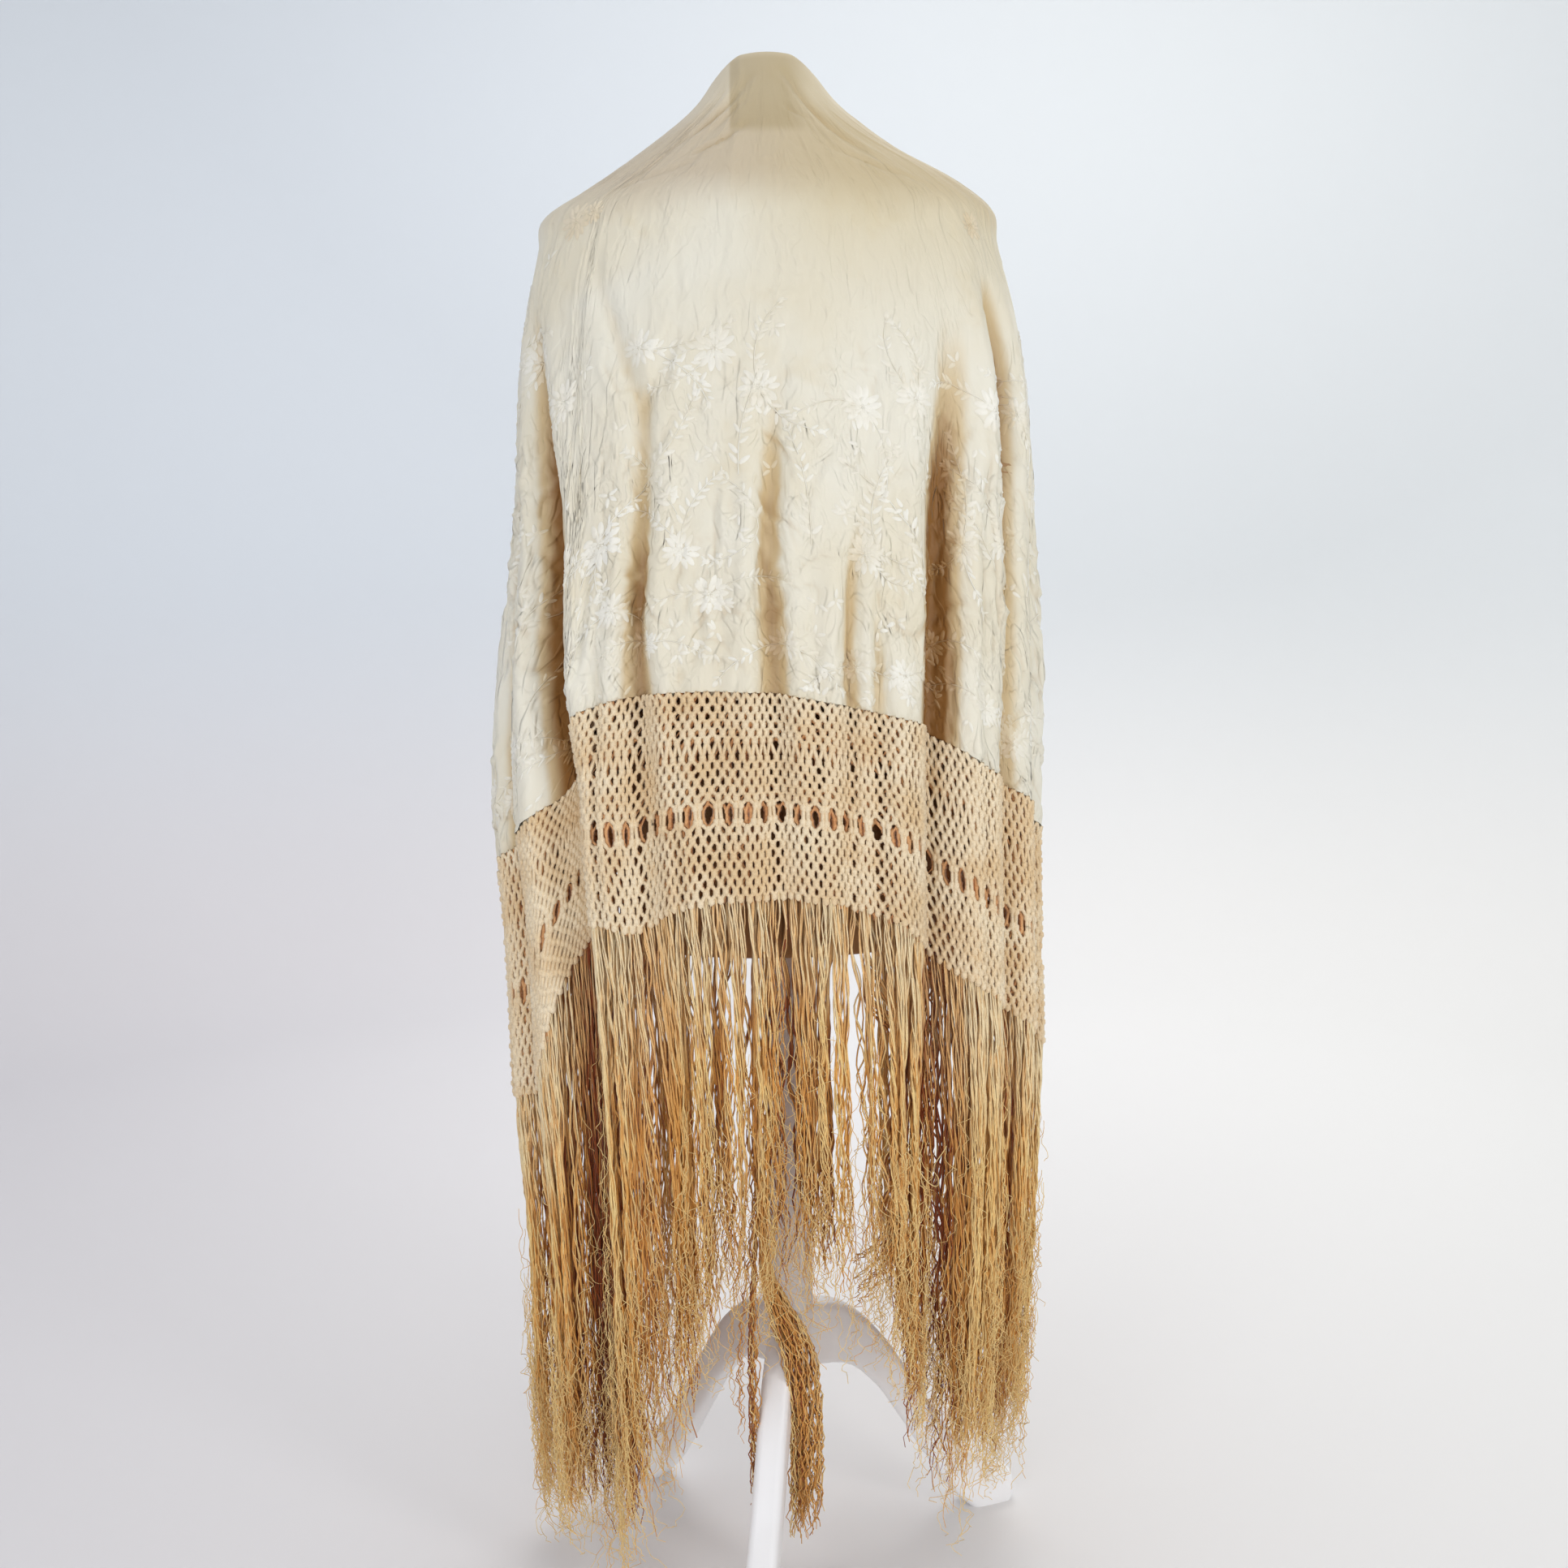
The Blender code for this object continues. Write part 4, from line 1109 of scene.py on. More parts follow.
def folded_silk():
    """Both halves of the square as one sheet: outer hem, fold at the neck, under hem."""
    rim = rim_height(silk_angles)
    fold = []
    for rise, inward in FOLD_ROWS:
        fold.append(cloth(silk_angles, rim + rise, inward)[0])
    under_heights = silk_heights(silk_angles, UNDER_ROWS // 3, UNDER_ROWS)[:-1]
    hem = edge_height(silk_angles, "silk") - 0.004 + 0.003 * np.sin(silk_angles * 0.21)
    under_heights = np.vstack([under_heights, hem])
    fallen = ease((SHOULDER - under_heights) / 0.3)
    under, _ = cloth(silk_angles[None, :] + 0.25 * fallen, under_heights,
                     LAYER_GAP + 0.0016 * fallen)
    under_push, _, _ = wrinkles(silk_angles, silk_runs, under_heights)
    under = wrinkled(under, under_heights, under_push)
    rows = np.concatenate([outer_rows[::-1], np.array(fold), under])
    # Painted shade: the under half counts as lying deeper, so its finish is more golden.
    hollow = np.concatenate([outer_hollow[::-1], np.zeros((3, len(silk_runs))),
                             crease_depth(silk_angles[None, :], under_heights) + UNDER_SHADE_DEPTH])
    count = rows.shape[0]
    faces = grid_faces(count, COLUMNS + 1)[:, ::-1]
    pinched = np.zeros(rows.shape[:2])
    pinched[:len(outer_pinch)] = outer_pinch[::-1]
    crumpled = np.full(rows.shape[:2], UNDER_CRUMPLE)
    crumpled[:len(outer_much)] = (outer_much * ease((SMOOTH_ABOVE - outer_heights) / 0.10))[::-1]
    mesh = mesh_of("silk_shawl", rows.reshape(-1, 3), faces, crease=hollow.ravel() * 1000.0,
                   pinch=pinched.ravel(), crumple=crumpled.ravel())
    uv = mesh.uv_layers.new(name="cut")
    down = np.concatenate([[0], np.cumsum(np.linalg.norm(np.diff(rows, axis=0), axis=2).mean(1))])
    across = np.broadcast_to(silk_runs, (count, COLUMNS + 1))
    flat = np.stack([across, np.broadcast_to(down[:, None], across.shape)], -1).reshape(-1, 2)
    uv.data.foreach_set("uv", flat[np.asarray(faces).ravel()].astype(np.float32).ravel())
    return mesh


silk_mesh = folded_silk()
print("silk:", len(silk_mesh.polygons) * 2, "triangles")

# %% [markdown]
# ## The finish of the silk
#
# Old ivory silk is warm where light passes between its folds and almost white where it faces the
# light. Here that is painted shade, driven by the crease depth that the grid stored: the deeper a
# point lies, the more golden it is, and then brown. Pinched wrinkles get thin lines of painted
# shade. Where the cloth lies on the wooden neck block, the block's shade is painted as a darker
# patch, and the cloth over the shoulders gets painted shade as well. The upper right of the back
# gets a painted warm light. The crepe's grain and its finest creases are bump on the cut of the
# cloth, so they follow the folds.

# %% Ivory crepe
Pressed = namedtuple("Pressed", "scale turn half_width size")
CREASE_LINES = (
    Pressed((44.0, 13.0, 1.0), 4.0, 0.080, 0.0015),
    Pressed((38.0, 18.0, 1.0), -24.0, 0.075, 0.0011),
    Pressed((36.0, 18.0, 1.0), 30.0, 0.075, -0.0011),
    Pressed((80.0, 36.0, 1.0), -8.0, 0.10, 0.0007),
)


def pressed_lines(finish, cut, lines, under):
    """Bump of thin broken creases: where a noise passes its middle value."""
    turned = finish.node("ShaderNodeVectorRotate", {"rotation_type": "Z_AXIS"}, cut,
                         Angle=math.radians(lines.turn))
    level = finish.clouds(finish.stretch(turned, lines.scale), 1.0, 1.5)
    away = level - 0.5
    broken = finish.clouds(finish.stretch(turned, (19.0, 13.0, 1.0)), 1.0, 1.0).fade(0.42, 0.60)
    height = (away * away).fade(lines.half_width**2, 0.0) * broken * finish.stored("crumple")
    return finish.bump(height, lines.size, 1.0, under)


def block_shadow(x, z):
    """1 where the neck block stands behind the cloth, for its painted shade, with a soft right
    edge.
    """
    side = x - float(AXIS[0])
    return (side.fade(-0.033, -0.030) * side.fade(0.044, 0.016)
            * z.fade(1.336, 1.347) * z.fade(1.424, 1.412))


def ivory_crepe():
    silk = Finish("ivory silk crepe", Specular_IOR_Level=0.42, Sheen_Weight=0.2,
                  Sheen_Roughness=0.35, Sheen_Tint=paint(255, 250, 235))
    x, _, z = silk.axes(silk.place())
    cut = silk.node("ShaderNodeUVMap", {"uv_map": "cut"})
    depth = silk.stored("crease")
    pinch = silk.stored("pinch")
    aged = silk.clouds(silk.place(), 6.0, 4.0, 0.55)
    blotched = silk.clouds(silk.place(), 17.0, 3.0, 0.6)
    ivory = silk.mix(aged.fade(0.35, 0.68), paint(240, 236, 221), paint(235, 227, 205))
    stained = silk.mix(blotched.fade(0.55, 0.75) * 0.3, ivory, paint(224, 208, 172))
    # Painted shade: the cloth over the shoulders and the neck, where the form stands behind it, is
    # darker.
    step = (z + x * 0.05 + aged * 0.05).fade(1.282, 1.334)
    covered = step * (1 - z.fade(1.345, 1.385) * 0.45)
    yoke_shaded = silk.mix(covered * 0.85, stained, paint(202, 186, 162))
    # Painted light: a warm glow on the upper right of the back.
    upper = z.fade(1.10, 1.30) * x.fade(-0.07, 0.09)
    warm_lit = silk.mix(upper * 0.5, yoke_shaded, paint(210, 188, 134))
    # Painted shade: the deeper a point lies in a fold, the more golden and then brown it is.
    golden = silk.mix(depth.fade(1.4, 9.5) * 0.66, warm_lit, paint(206, 172, 106))
    brown = silk.mix(depth.fade(7.0, 22.0) * 0.92, golden, paint(142, 92, 28))
    # Painted shade along the pinched wrinkle lines.
    pinch_shaded = silk.mix(pinch.fade(0.15, 0.9) * 0.18, brown, paint(186, 148, 92))
    # Painted shade of the neck block behind the cloth.
    shown = silk.mix(block_shadow(x, z) * 0.62, pinch_shaded, paint(180, 160, 118))
    threads = silk.clouds(silk.stretch(cut, (2600.0, 1500.0, 1.0)), 1.0, 1.0)
    relief = silk.bump(threads, 0.00025, 0.35)
    for lines in CREASE_LINES:
        relief = pressed_lines(silk, cut, lines, relief)
    return silk.give(Base_Color=shown, Roughness=aged * 0.12 + 0.44, Normal=relief)


crepe = ivory_crepe()
silk = piece_of(silk_mesh, crepe, ("silk_back", "silk_left", "silk_right"))
print("finish:", crepe.name, "with", len(crepe.node_tree.nodes), "nodes")

# %% [markdown]
# ## Embroidery
#
# The flowers are worked by hand in satin stitch with the same ivory thread, so they show
# only as a slightly raised, shinier shape. Each petal or leaf is a small padded lens that
# lies on the cloth. It is worked out flat, in metres, and then laid on the grid of the
# silk, so it bends with the folds. Two helpers find places on that grid.

# %% A place on the silk
def spots_on_silk(column, row, lift):
    """Points on the outer half at fractional places of its grid, lifted off the cloth."""
    rows, columns = outer_rows.shape[:2]
    column = np.clip(column, 0, columns - 1.001)
    row = np.clip(row, 0, rows - 1.001)
    c, r = column.astype(int), row.astype(int)
    u, v = (column - c)[..., None], (row - r)[..., None]

    def blend(grid):
        upper = grid[r, c] * (1 - u) + grid[r, c + 1] * u
        lower = grid[r + 1, c] * (1 - u) + grid[r + 1, c + 1] * u
        return upper * (1 - v) + lower * v

    return blend(outer_rows) + blend(silk_out) * np.asarray(lift)[..., None]


silk_out = normals_of(outer_rows)
if np.mean(np.sum(silk_out * outer_out, -1)) < 0:
    silk_out = -silk_out
column_size = np.linalg.norm(np.gradient(outer_rows, axis=1), axis=-1)
row_size = np.linalg.norm(np.gradient(outer_rows, axis=0), axis=-1)


def grid_place(angle, height):
    """Fractional column and row of the grid at an angle and a height."""
    column = float(np.interp(angle, silk_angles, np.arange(len(silk_angles))))
    levels = outer_heights[:, int(round(column))]
    row = float(np.interp(-height, -levels, np.arange(len(levels))))
    return column, row


def grid_cell(column, row):
    """The whole column and row at a place, kept on the grid."""
    last_row = outer_rows.shape[0] - 1
    return int(np.clip(column, 0, COLUMNS)), int(np.clip(row, 0, last_row))


def beside(column, row, x, y):
    """The place that lies x metres across and y metres down from another."""
    c, r = grid_cell(column, row)
    return column + x / column_size[r, c], row + y / row_size[r, c]


print("silk row size:", round(float(row_size.mean()) * 1000, 1), "mm")

# %% [markdown]
# ## Padded stitches
#
# A stitch is a lens of ten rim points and a ridge of three. Its rim touches the cloth and its ridge
# stands a millimetre above it. It remembers how deep the cloth lies there, so that it gets the
# painted shade of the fold it lies in.

# %% Stitched shapes
LENS_SIDES = 10
LENS_TAPER = 0.35
RIM_LIFT = 0.00012
RIDGE_PLACES = np.array([-0.28, 0.0, 0.28])
RIDGE_LIFTS = np.array([0.75, 1.0, 0.7])
STITCH_LIFT = 0.0011
Stitch = namedtuple("Stitch", "column row length width heading shade")


def lens_points(stitch):
    """A satin-stitch lens, laid on the silk: a rim that touches it and a raised ridge."""
    along = np.linspace(0, 2 * np.pi, LENS_SIDES, endpoint=False)
    reach, aside = np.cos(along) * 0.5, np.sin(along) * 0.5
    aside = aside * (1 - LENS_TAPER * reach)
    rim = np.stack([reach * stitch.length, aside * stitch.width], -1)
    ridge = np.stack([RIDGE_PLACES * stitch.length, np.zeros(3)], -1)
    flat = np.vstack([rim, ridge])
    lifts = np.concatenate([np.full(LENS_SIDES, RIM_LIFT), RIDGE_LIFTS * STITCH_LIFT])
    cos, sin = math.cos(stitch.heading), math.sin(stitch.heading)
    x = flat[:, 0] * cos - flat[:, 1] * sin
    y = flat[:, 0] * sin + flat[:, 1] * cos
    c, r = grid_cell(stitch.column, stitch.row)
    column, row = beside(stitch.column, stitch.row, x, y)
    # Painted shade: the depth of the fold, plus the stitch's own extra shade, for its colour.
    hollow = np.full(len(flat), outer_hollow[r, c] * 1000.0 + stitch.shade)
    return spots_on_silk(column, row, lifts), hollow


def lens_faces():
    """Triangles from the ridge's three points out to the rim's ten."""
    back, middle, front = LENS_SIDES, LENS_SIDES + 1, LENS_SIDES + 2
    nearest = [front, front, middle, back, back, back, back, middle, front, front]
    faces = []
    for k in range(LENS_SIDES):
        following = (k + 1) % LENS_SIDES
        faces.append((k, following, nearest[k]))
        if nearest[k] != nearest[following]:
            faces.append((following, nearest[following], nearest[k]))
    return np.array(faces)


print("triangles of a lens:", len(lens_faces()))

# %% [markdown]
# ## Flowers from stitches
#
# A rose is an outer ring of broad petals, an inner ring and a small heart. A spray is a
# curved stem with pairs of leaves and a bud at its end. Uneven sizes and angles keep them
# from looking stamped.

# %% Roses and sprays
EDGE_CELLS = 3
PETALS = ((6, 0.62, 0.62, 0.5, 0.0), (5, 0.30, 0.40, 0.32, 0.3))
PETAL_HALVES = (-0.22, 0.22)
HEART = 5
LEAF_CHANCE = 0.82
rng = np.random.default_rng(21)


def inside_silk(column, row):
    rows, columns = outer_rows.shape[:2]
    across = EDGE_CELLS < column < columns - 1 - EDGE_CELLS
    return across and EDGE_CELLS < row < rows - EDGE_CELLS


def toward(way, reach, size=1.0):
    """A step across and down in a direction."""
    return math.cos(way) * reach * size, math.sin(way) * reach * size


def add_stitch(stitches, place, step, length, width, heading, shade=0.0):
    """Adds a lens whose middle is a step away from a place on the silk."""
    column, row = beside(*place, *step)
    if inside_silk(column, row):
        stitches.append(Stitch(column, row, length, width, heading, shade))


def add_rose(stitches, place, size, heading, shade=0.0):
    """An open rose: two rings of petals, each petal in two halves, and a small heart."""
    for petals, reach, length, width, turned in PETALS:
        for k in range(petals):
            way = heading + 2 * math.pi * k / petals + turned + rng.normal(0, 0.08)
            for half in PETAL_HALVES:
                add_stitch(stitches, place, toward(way + half, reach, size),
                           length * size * rng.uniform(0.85, 1.05), width * size * 0.55,
                           way + half * 0.6, shade)
    for k in range(HEART):
        way = heading + 2 * math.pi * k / HEART
        add_stitch(stitches, place, toward(way, 0.1, size), 0.12 * size, 0.1 * size, way, shade)


def add_spray(stitches, stems, place, length, heading, bend, leaf):
    """A curved stem with pairs of leaves and a bud at its end."""
    steps = max(int(length / (leaf * 0.75)), 3)
    x = y = 0.0
    path = [place]
    for k in range(steps):
        way = heading + bend * (k / steps - 0.3)
        x += math.cos(way) * length / steps
        y += math.sin(way) * length / steps
        path.append(beside(*place, x, y))
        size = leaf * (1.1 - 0.5 * k / steps) * rng.uniform(0.8, 1.15)
        for side in (-1, 1):
            if rng.random() < LEAF_CHANCE:
                out = way + side * rng.uniform(0.6, 1.0)
                across, down = toward(out, size, 0.55)
                add_stitch(stitches, place, (x + across, y + down), size, size * 0.36, out)
    add_stitch(stitches, place, (x, y), leaf * 0.7, leaf * 0.45, heading + bend * 0.7)
    stems.append(path)


print("stitches in a rose:", len(PETAL_HALVES) * sum(row[0] for row in PETALS) + HEART)

# %% [markdown]
# ## Layout
#
# The embroidery is dense near the hem and thin towards the neck. A border of roses with sprays runs
# round the hem, two looser bands lie above it, and sprigs fill the space between. A few roses at
# the shoulders get extra painted shade, like the painted shade of the cloth round them.

# %% Layout of the embroidery
SHADED_ROSES = ((-56.0, 1.270, 0.019), (-49.0, 1.276, 0.012), (62.0, 1.262, 0.014))
ROSE_SHADE = 7.5
BORDER_ANGLES = np.arange(-148, 150, 12.5)
Band = namedtuple("Band", "low high step chance")
BANDS = (Band(1.06, 1.17, 17.0, 0.75), Band(0.95, 1.05, 19.0, 0.6))
SPRIGS = 230
SPRIG_TOP_BACK = 1.17
SPRIG_TOP_SIDE = 1.31


def embroidery_layout():
    """Where the flowers, sprays and sprigs lie: thin near the neck, dense near the hem."""
    stitches, stems = [], []
    for angle in BORDER_ANGLES:
        spot = angle + rng.uniform(-4, 4)
        hem = float(edge_height(spot, "silk"))
        place = grid_place(spot, hem + rng.uniform(0.035, 0.085))
        add_rose(stitches, place, rng.uniform(0.015, 0.020), rng.uniform(0, 6))
        for side in (-1, 1):
            way = math.pi / 2 + side * rng.uniform(1.2, 2.2) + math.pi
            add_spray(stitches, stems, place, rng.uniform(0.05, 0.085), way, side * 0.9, 0.010)
        place = grid_place(spot + 6, hem + rng.uniform(0.12, 0.20))
        add_spray(stitches, stems, place, rng.uniform(0.07, 0.11),
                  -math.pi / 2 + rng.uniform(-0.7, 0.7), rng.uniform(-1.2, 1.2), 0.011)
    for band in BANDS:
        for angle in np.arange(-150, 152, band.step):
            spot = angle + rng.uniform(-6, 6)
            place = grid_place(spot, rng.uniform(band.low, band.high))
            if abs(spot) > 35 or rng.random() < band.chance:
                add_rose(stitches, place, rng.uniform(0.016, 0.024), rng.uniform(0, 6))
            for side in (-1, 1):
                add_spray(stitches, stems, place, rng.uniform(0.05, 0.09),
                          rng.uniform(0, 6.28), side * 1.1, 0.010)
    for _ in range(SPRIGS):
        spot = rng.uniform(-154, 154)
        top = SPRIG_TOP_SIDE if abs(spot) > 40 else SPRIG_TOP_BACK
        hem = float(edge_height(spot, "silk"))
        place = grid_place(spot, hem + (top - hem) * rng.beta(1.1, 2.0))
        way = rng.uniform(0, 6.28)
        for k in range(rng.integers(2, 5)):
            turned = way + k * rng.uniform(1.0, 1.5)
            add_stitch(stitches, place, toward(turned, 0.006), 0.009, 0.0036, turned)
    for angle, height, size in SHADED_ROSES:
        add_rose(stitches, grid_place(angle, height), size, 1.0, ROSE_SHADE)
    return stitches, stems


stitches, stems = embroidery_layout()
print("stitched shapes:", len(stitches), " stems:", len(stems))

# %% [markdown]
# ## Threads
#
# A thread is a thin tube along a line of points. A curve object with a bevel makes one
# easily, but thousands of them are lighter as one mesh: the same small ring of points is
# set round each point of each line, all at once, with arrays.

# %% Tubes along many lines at once
def tubes(lines, radii, sides, outs):
    """Points and quads of tubes, for an array of lines x points x 3 and each point's radius."""
    ahead = np.gradient(lines, axis=1)
    ahead /= np.linalg.norm(ahead, axis=-1, keepdims=True) + 1e-12
    side = np.cross(outs, ahead)
    side /= np.linalg.norm(side, axis=-1, keepdims=True) + 1e-12
    front = np.cross(ahead, side)
    turn = (2 * np.pi * np.arange(sides) / sides)[None, None, :, None]
    around = np.cos(turn) * front[:, :, None, :] + np.sin(turn) * side[:, :, None, :]
    rings = lines[:, :, None, :] + radii[:, :, None, None] * around
    count, points = lines.shape[:2]
    base = (np.arange(count) * points * sides)[:, None, None]
    ring = base + (np.arange(points - 1) * sides)[None, :, None]
    k = np.arange(sides)[None, None, :]
    following = (k + 1) % sides
    faces = np.stack([ring + k, ring + following, ring + sides + following, ring + sides + k], -1)
    return rings.reshape(-1, 3), faces.reshape(-1, 4)


def joined(parts):
    """One set of points and faces from several."""
    points, faces, start = [], [], 0
    for some_points, some_faces in parts:
        points.append(some_points)
        faces.append(np.asarray(some_faces) + start)
        start += len(some_points)
    return np.vstack(points), np.vstack(faces)


_, sample_faces = tubes(np.eye(3)[None], np.ones((1, 3)), 4, np.ones((1, 3, 3)))
print("a square tube through 3 points has", len(sample_faces), "faces")

# %% [markdown]
# ## The embroidery's mesh and thread
#
# The stems are thin tubes on the cloth, and the lenses join them in one mesh. The thread has a
# satin shine, and takes the painted shade of the folds, golden and then brown, from the depth that
# each stitch remembers.

# %% Embroidery as one mesh
STEM_POINTS = 12
STEM_RADIUS = 0.00055
STEM_LIFT = 0.00025
STEM_SIDES = 4


def stem_tubes():
    parts, hollows = [], []
    for path in stems:
        columns, rows = np.array(path).T
        share = np.linspace(0, len(path) - 1, STEM_POINTS)
        column = np.interp(share, np.arange(len(path)), columns)
        row = np.interp(share, np.arange(len(path)), rows)
        if not all(inside_silk(c, r) for c, r in zip(column, row)):
            continue
        cells = row.astype(int), column.astype(int)
        line = spots_on_silk(column, row, np.full(STEM_POINTS, STEM_LIFT))[None]
        radii = np.full((1, STEM_POINTS), STEM_RADIUS)
        parts.append(tubes(line, radii, STEM_SIDES, silk_out[cells][None]))
        hollows.append(np.repeat(outer_hollow[cells], STEM_SIDES) * 1000.0)
    return parts, np.concatenate(hollows)


def embroidery_mesh():
    lens = lens_faces()
    laid = [lens_points(stitch) for stitch in stitches]
    shapes = joined([(some_points, lens) for some_points, _ in laid])
    tubes_of_stems, stem_hollow = stem_tubes()
    stem_points, stem_quads = joined(tubes_of_stems)
    split = np.vstack([stem_quads[:, [0, 1, 2]], stem_quads[:, [0, 2, 3]]])
    points, faces = joined([shapes, (stem_points, split)])
    hollow = np.concatenate([*(depth for _, depth in laid), stem_hollow])
    return mesh_of("ivory_embroidery", points, faces, crease=hollow)


def satin_thread():
    satin = Finish("ivory satin stitch", Specular_IOR_Level=0.6, Sheen_Weight=0.3,
                   Sheen_Roughness=0.3)
    place = satin.place()
    strands = satin.clouds(satin.stretch(place, (1500.0, 1500.0, 420.0)), 1.0, 2.0)
    tone = satin.clouds(place, 30.0, 2.0)
    colour = satin.mix(tone.fade(0.3, 0.7), paint(248, 245, 234), paint(238, 231, 212))
    # Painted shade: golden and then brown with the depth of the fold under the stitch.
    depth = satin.stored("crease")
    golden = satin.mix(depth.fade(2.0, 10.0) * 0.55, colour, paint(214, 184, 124))
    shaded = satin.mix(depth.fade(7.0, 20.0) * 0.85, golden, paint(160, 112, 46))
    return satin.give(Base_Color=shaded, Roughness=strands * 0.2 + 0.26,
                      Normal=satin.bump(strands, 0.0004, 0.6))


embroidery = piece_of(embroidery_mesh(), satin_thread())
print("embroidery:", len(embroidery.data.polygons), "triangles")

# %% [markdown]
# ## Knotted net
#
# A band of net hangs from the silk's edge. It is knotted by hand: each thread runs down in
# a zigzag and is tied to its neighbours at each turn, which leaves diamond meshes. One row
# is taller, and lower down a row of large eyelets is left open between bundles of threads.
# A texture with holes would do for a far view, but real threads cast real shadows on the
# net behind them. The net is worked out flat, as places along the hem and distances below
# it, and the cloth formula then hangs it. Its first row lies on the silk's edge.

# %% Rows of knots
MESH_PITCH = 0.0086
NET_NOMINAL = 0.176
KNOT_DROPS = (0.0, 6.8, 13.6, 20.4, 27.2, 34.0, 40.8, 54.8, 61.6, 68.4, 75.2, 82.0, 88.8, 95.6,
              108.6, 116.0, 123.5, 131.0, 138.5, 146.0, 153.5, 161.0, 168.5, 176.0)
EYELET_ROW = 13
EYELET_PULL = 0.42
KNOT_UNEVEN = 0.0005
SLOW_UNEVEN = 0.012
SLOW_STEP = 9
SILK_EDGE_LIFT = 0.0022
SILK_EDGE_DEPTH = 0.007
STRETCHES = {"left": (-EDGE_ANGLE, -78.0), "back": (-78.0, 78.0), "right": (78.0, EDGE_ANGLE)}
Net = namedtuple("Net", "runs drops")


def net_knots(first, last, open_rows, seed):
    """Places of the knots: row by row, each row shifted by half a mesh."""
    draw = np.random.default_rng(seed)
    columns = int(round((last - first) / (2 * MESH_PITCH))) * 2
    pitch = (last - first) / columns
    levels = KNOT_DROPS if open_rows else np.linspace(0, KNOT_DROPS[-1], len(KNOT_DROPS))
    rows = len(levels)
    runs = np.zeros((rows, columns + 1))
    drops = np.zeros((rows, columns + 1))
    bar = np.arange(columns + 1) // 2 * 2 + 1.0
    shifted = 0
    for r, drop in enumerate(levels):
        if r and r != EYELET_ROW + 1:
            shifted = 1 - shifted
        places = np.arange(columns + 1) + 0.5 * shifted
        if open_rows and r in (EYELET_ROW, EYELET_ROW + 1):
            places = bar + (places - bar) * EYELET_PULL
        runs[r] = first + places * pitch + draw.normal(0, KNOT_UNEVEN, columns + 1)
        drops[r] = drop / 1000 + draw.normal(0, KNOT_UNEVEN, columns + 1) * (r > 0)
    knots = np.arange(0, columns + 40, SLOW_STEP)
    slow = np.interp(np.arange(columns + 1), knots, draw.normal(0, 1, len(knots)))
    drops *= 1 + SLOW_UNEVEN * slow[None, :]
    return Net(np.clip(runs, 0, HEM.length), drops)


def hang_net(runs, drops, inward):
    """Points of the net at places along the hem and distances below it."""
    angle = HEM.angle_at(runs)
    top, end = edge_height(angle, "silk"), edge_height(angle, "net")
    on_the_silk = SILK_EDGE_LIFT * ease(1 - drops / SILK_EDGE_DEPTH)
    return cloth(angle, top - drops / NET_NOMINAL * (top - end), inward - on_the_silk)


print("rows of knots:", len(KNOT_DROPS), " meshes round the hem:", int(HEM.length / MESH_PITCH))

# %% [markdown]
# ## Threads from knot to knot
#
# Every thread visits one knot in each row, and leans left or right in turn. Half of the
# threads start leaning the one way and half the other, and together they tie the meshes.
# At the eyelets they run straight down.

# %% Zigzag threads
def net_lines(net, inward, between):
    """The zigzag threads, as points with the directions out of the cloth."""
    rows, columns = net.runs.shape
    ways = []
    for lean in (0, 1):
        column = np.arange(columns)
        path = [column]
        shifted = 0
        for r in range(1, rows):
            if r == EYELET_ROW + 1:
                path.append(path[-1])
                continue
            path.append(path[-1] + lean * (1 if shifted else -1))
            shifted = 1 - shifted
        ways.append(np.array(path).T)
    path = np.vstack(ways)
    path = path[(path.min(1) >= 0) & (path.max(1) < columns)]
    rows_index = np.arange(rows)[None, :]
    runs, drops = net.runs[rows_index, path], net.drops[rows_index, path]
    count = (rows - 1) * between + 1
    share = np.linspace(0, rows - 1, count)
    lower = np.minimum(share.astype(int), rows - 2)
    part = share - lower
    runs = runs[:, lower] * (1 - part) + runs[:, lower + 1] * part
    drops = drops[:, lower] * (1 - part) + drops[:, lower + 1] * part
    return hang_net(runs, drops, inward)


sample_lines, _ = net_lines(net_knots(0.0, 0.5, True, 1), 0.0, 1)
print("threads in half a metre of net:", len(sample_lines))

# %% [markdown]
# ## One net
#
# The outer net has the open rows, square threads and fuller knots. The under net is seen
# only through the holes, so it is plain, with three-sided threads.

# %% Threads and knots of one net
THREAD_RADIUS = 0.00195
UNDER_THREAD_RADIUS = 0.0026
KNOT_RADIUS = 0.00335
KNOT_STRETCH = 1.2
KNOT_RINGS = ((-1.0, 0.25), (-0.45, 0.95), (0.45, 0.95), (1.0, 0.25))


def knot_shapes(places, outs, radius, sides):
    """Small rounded knots, a little taller than wide."""
    levels, shares = np.array(KNOT_RINGS).T
    heights = levels * radius * KNOT_STRETCH
    lines = places[:, None, :] - np.array([0, 0, 1.0]) * heights[None, :, None]
    radii = np.tile(shares * radius, (len(places), 1))
    return tubes(lines, radii, sides, np.repeat(outs[:, None, :], len(KNOT_RINGS), 1))


def net_mesh(name, first, last, inward, detail, seed):
    """One net. The outer one has the open rows and rounder threads, the under one is plain."""
    net = net_knots(first, last, detail, seed)
    lines, outs = net_lines(net, inward, 2 if detail else 1)
    sides = 4 if detail else 3
    radii = np.full(lines.shape[:2], THREAD_RADIUS if detail else UNDER_THREAD_RADIUS)
    threads = tubes(lines, radii, sides, outs)
    places, knot_outs = hang_net(net.runs[1:], net.drops[1:], inward)
    knots = knot_shapes(places.reshape(-1, 3), knot_outs.reshape(-1, 3), KNOT_RADIUS,
                        5 if detail else 3)
    points, faces = joined([threads, knots])
    return mesh_of(name, points, faces)


print("thread:", THREAD_RADIUS * 2000, "mm thick")

# %% [markdown]
# ## Hang the nets
#
# The net goes round in three stretches, as its solids do. The twist is brighter outside
# and browner in the shade of the under half.

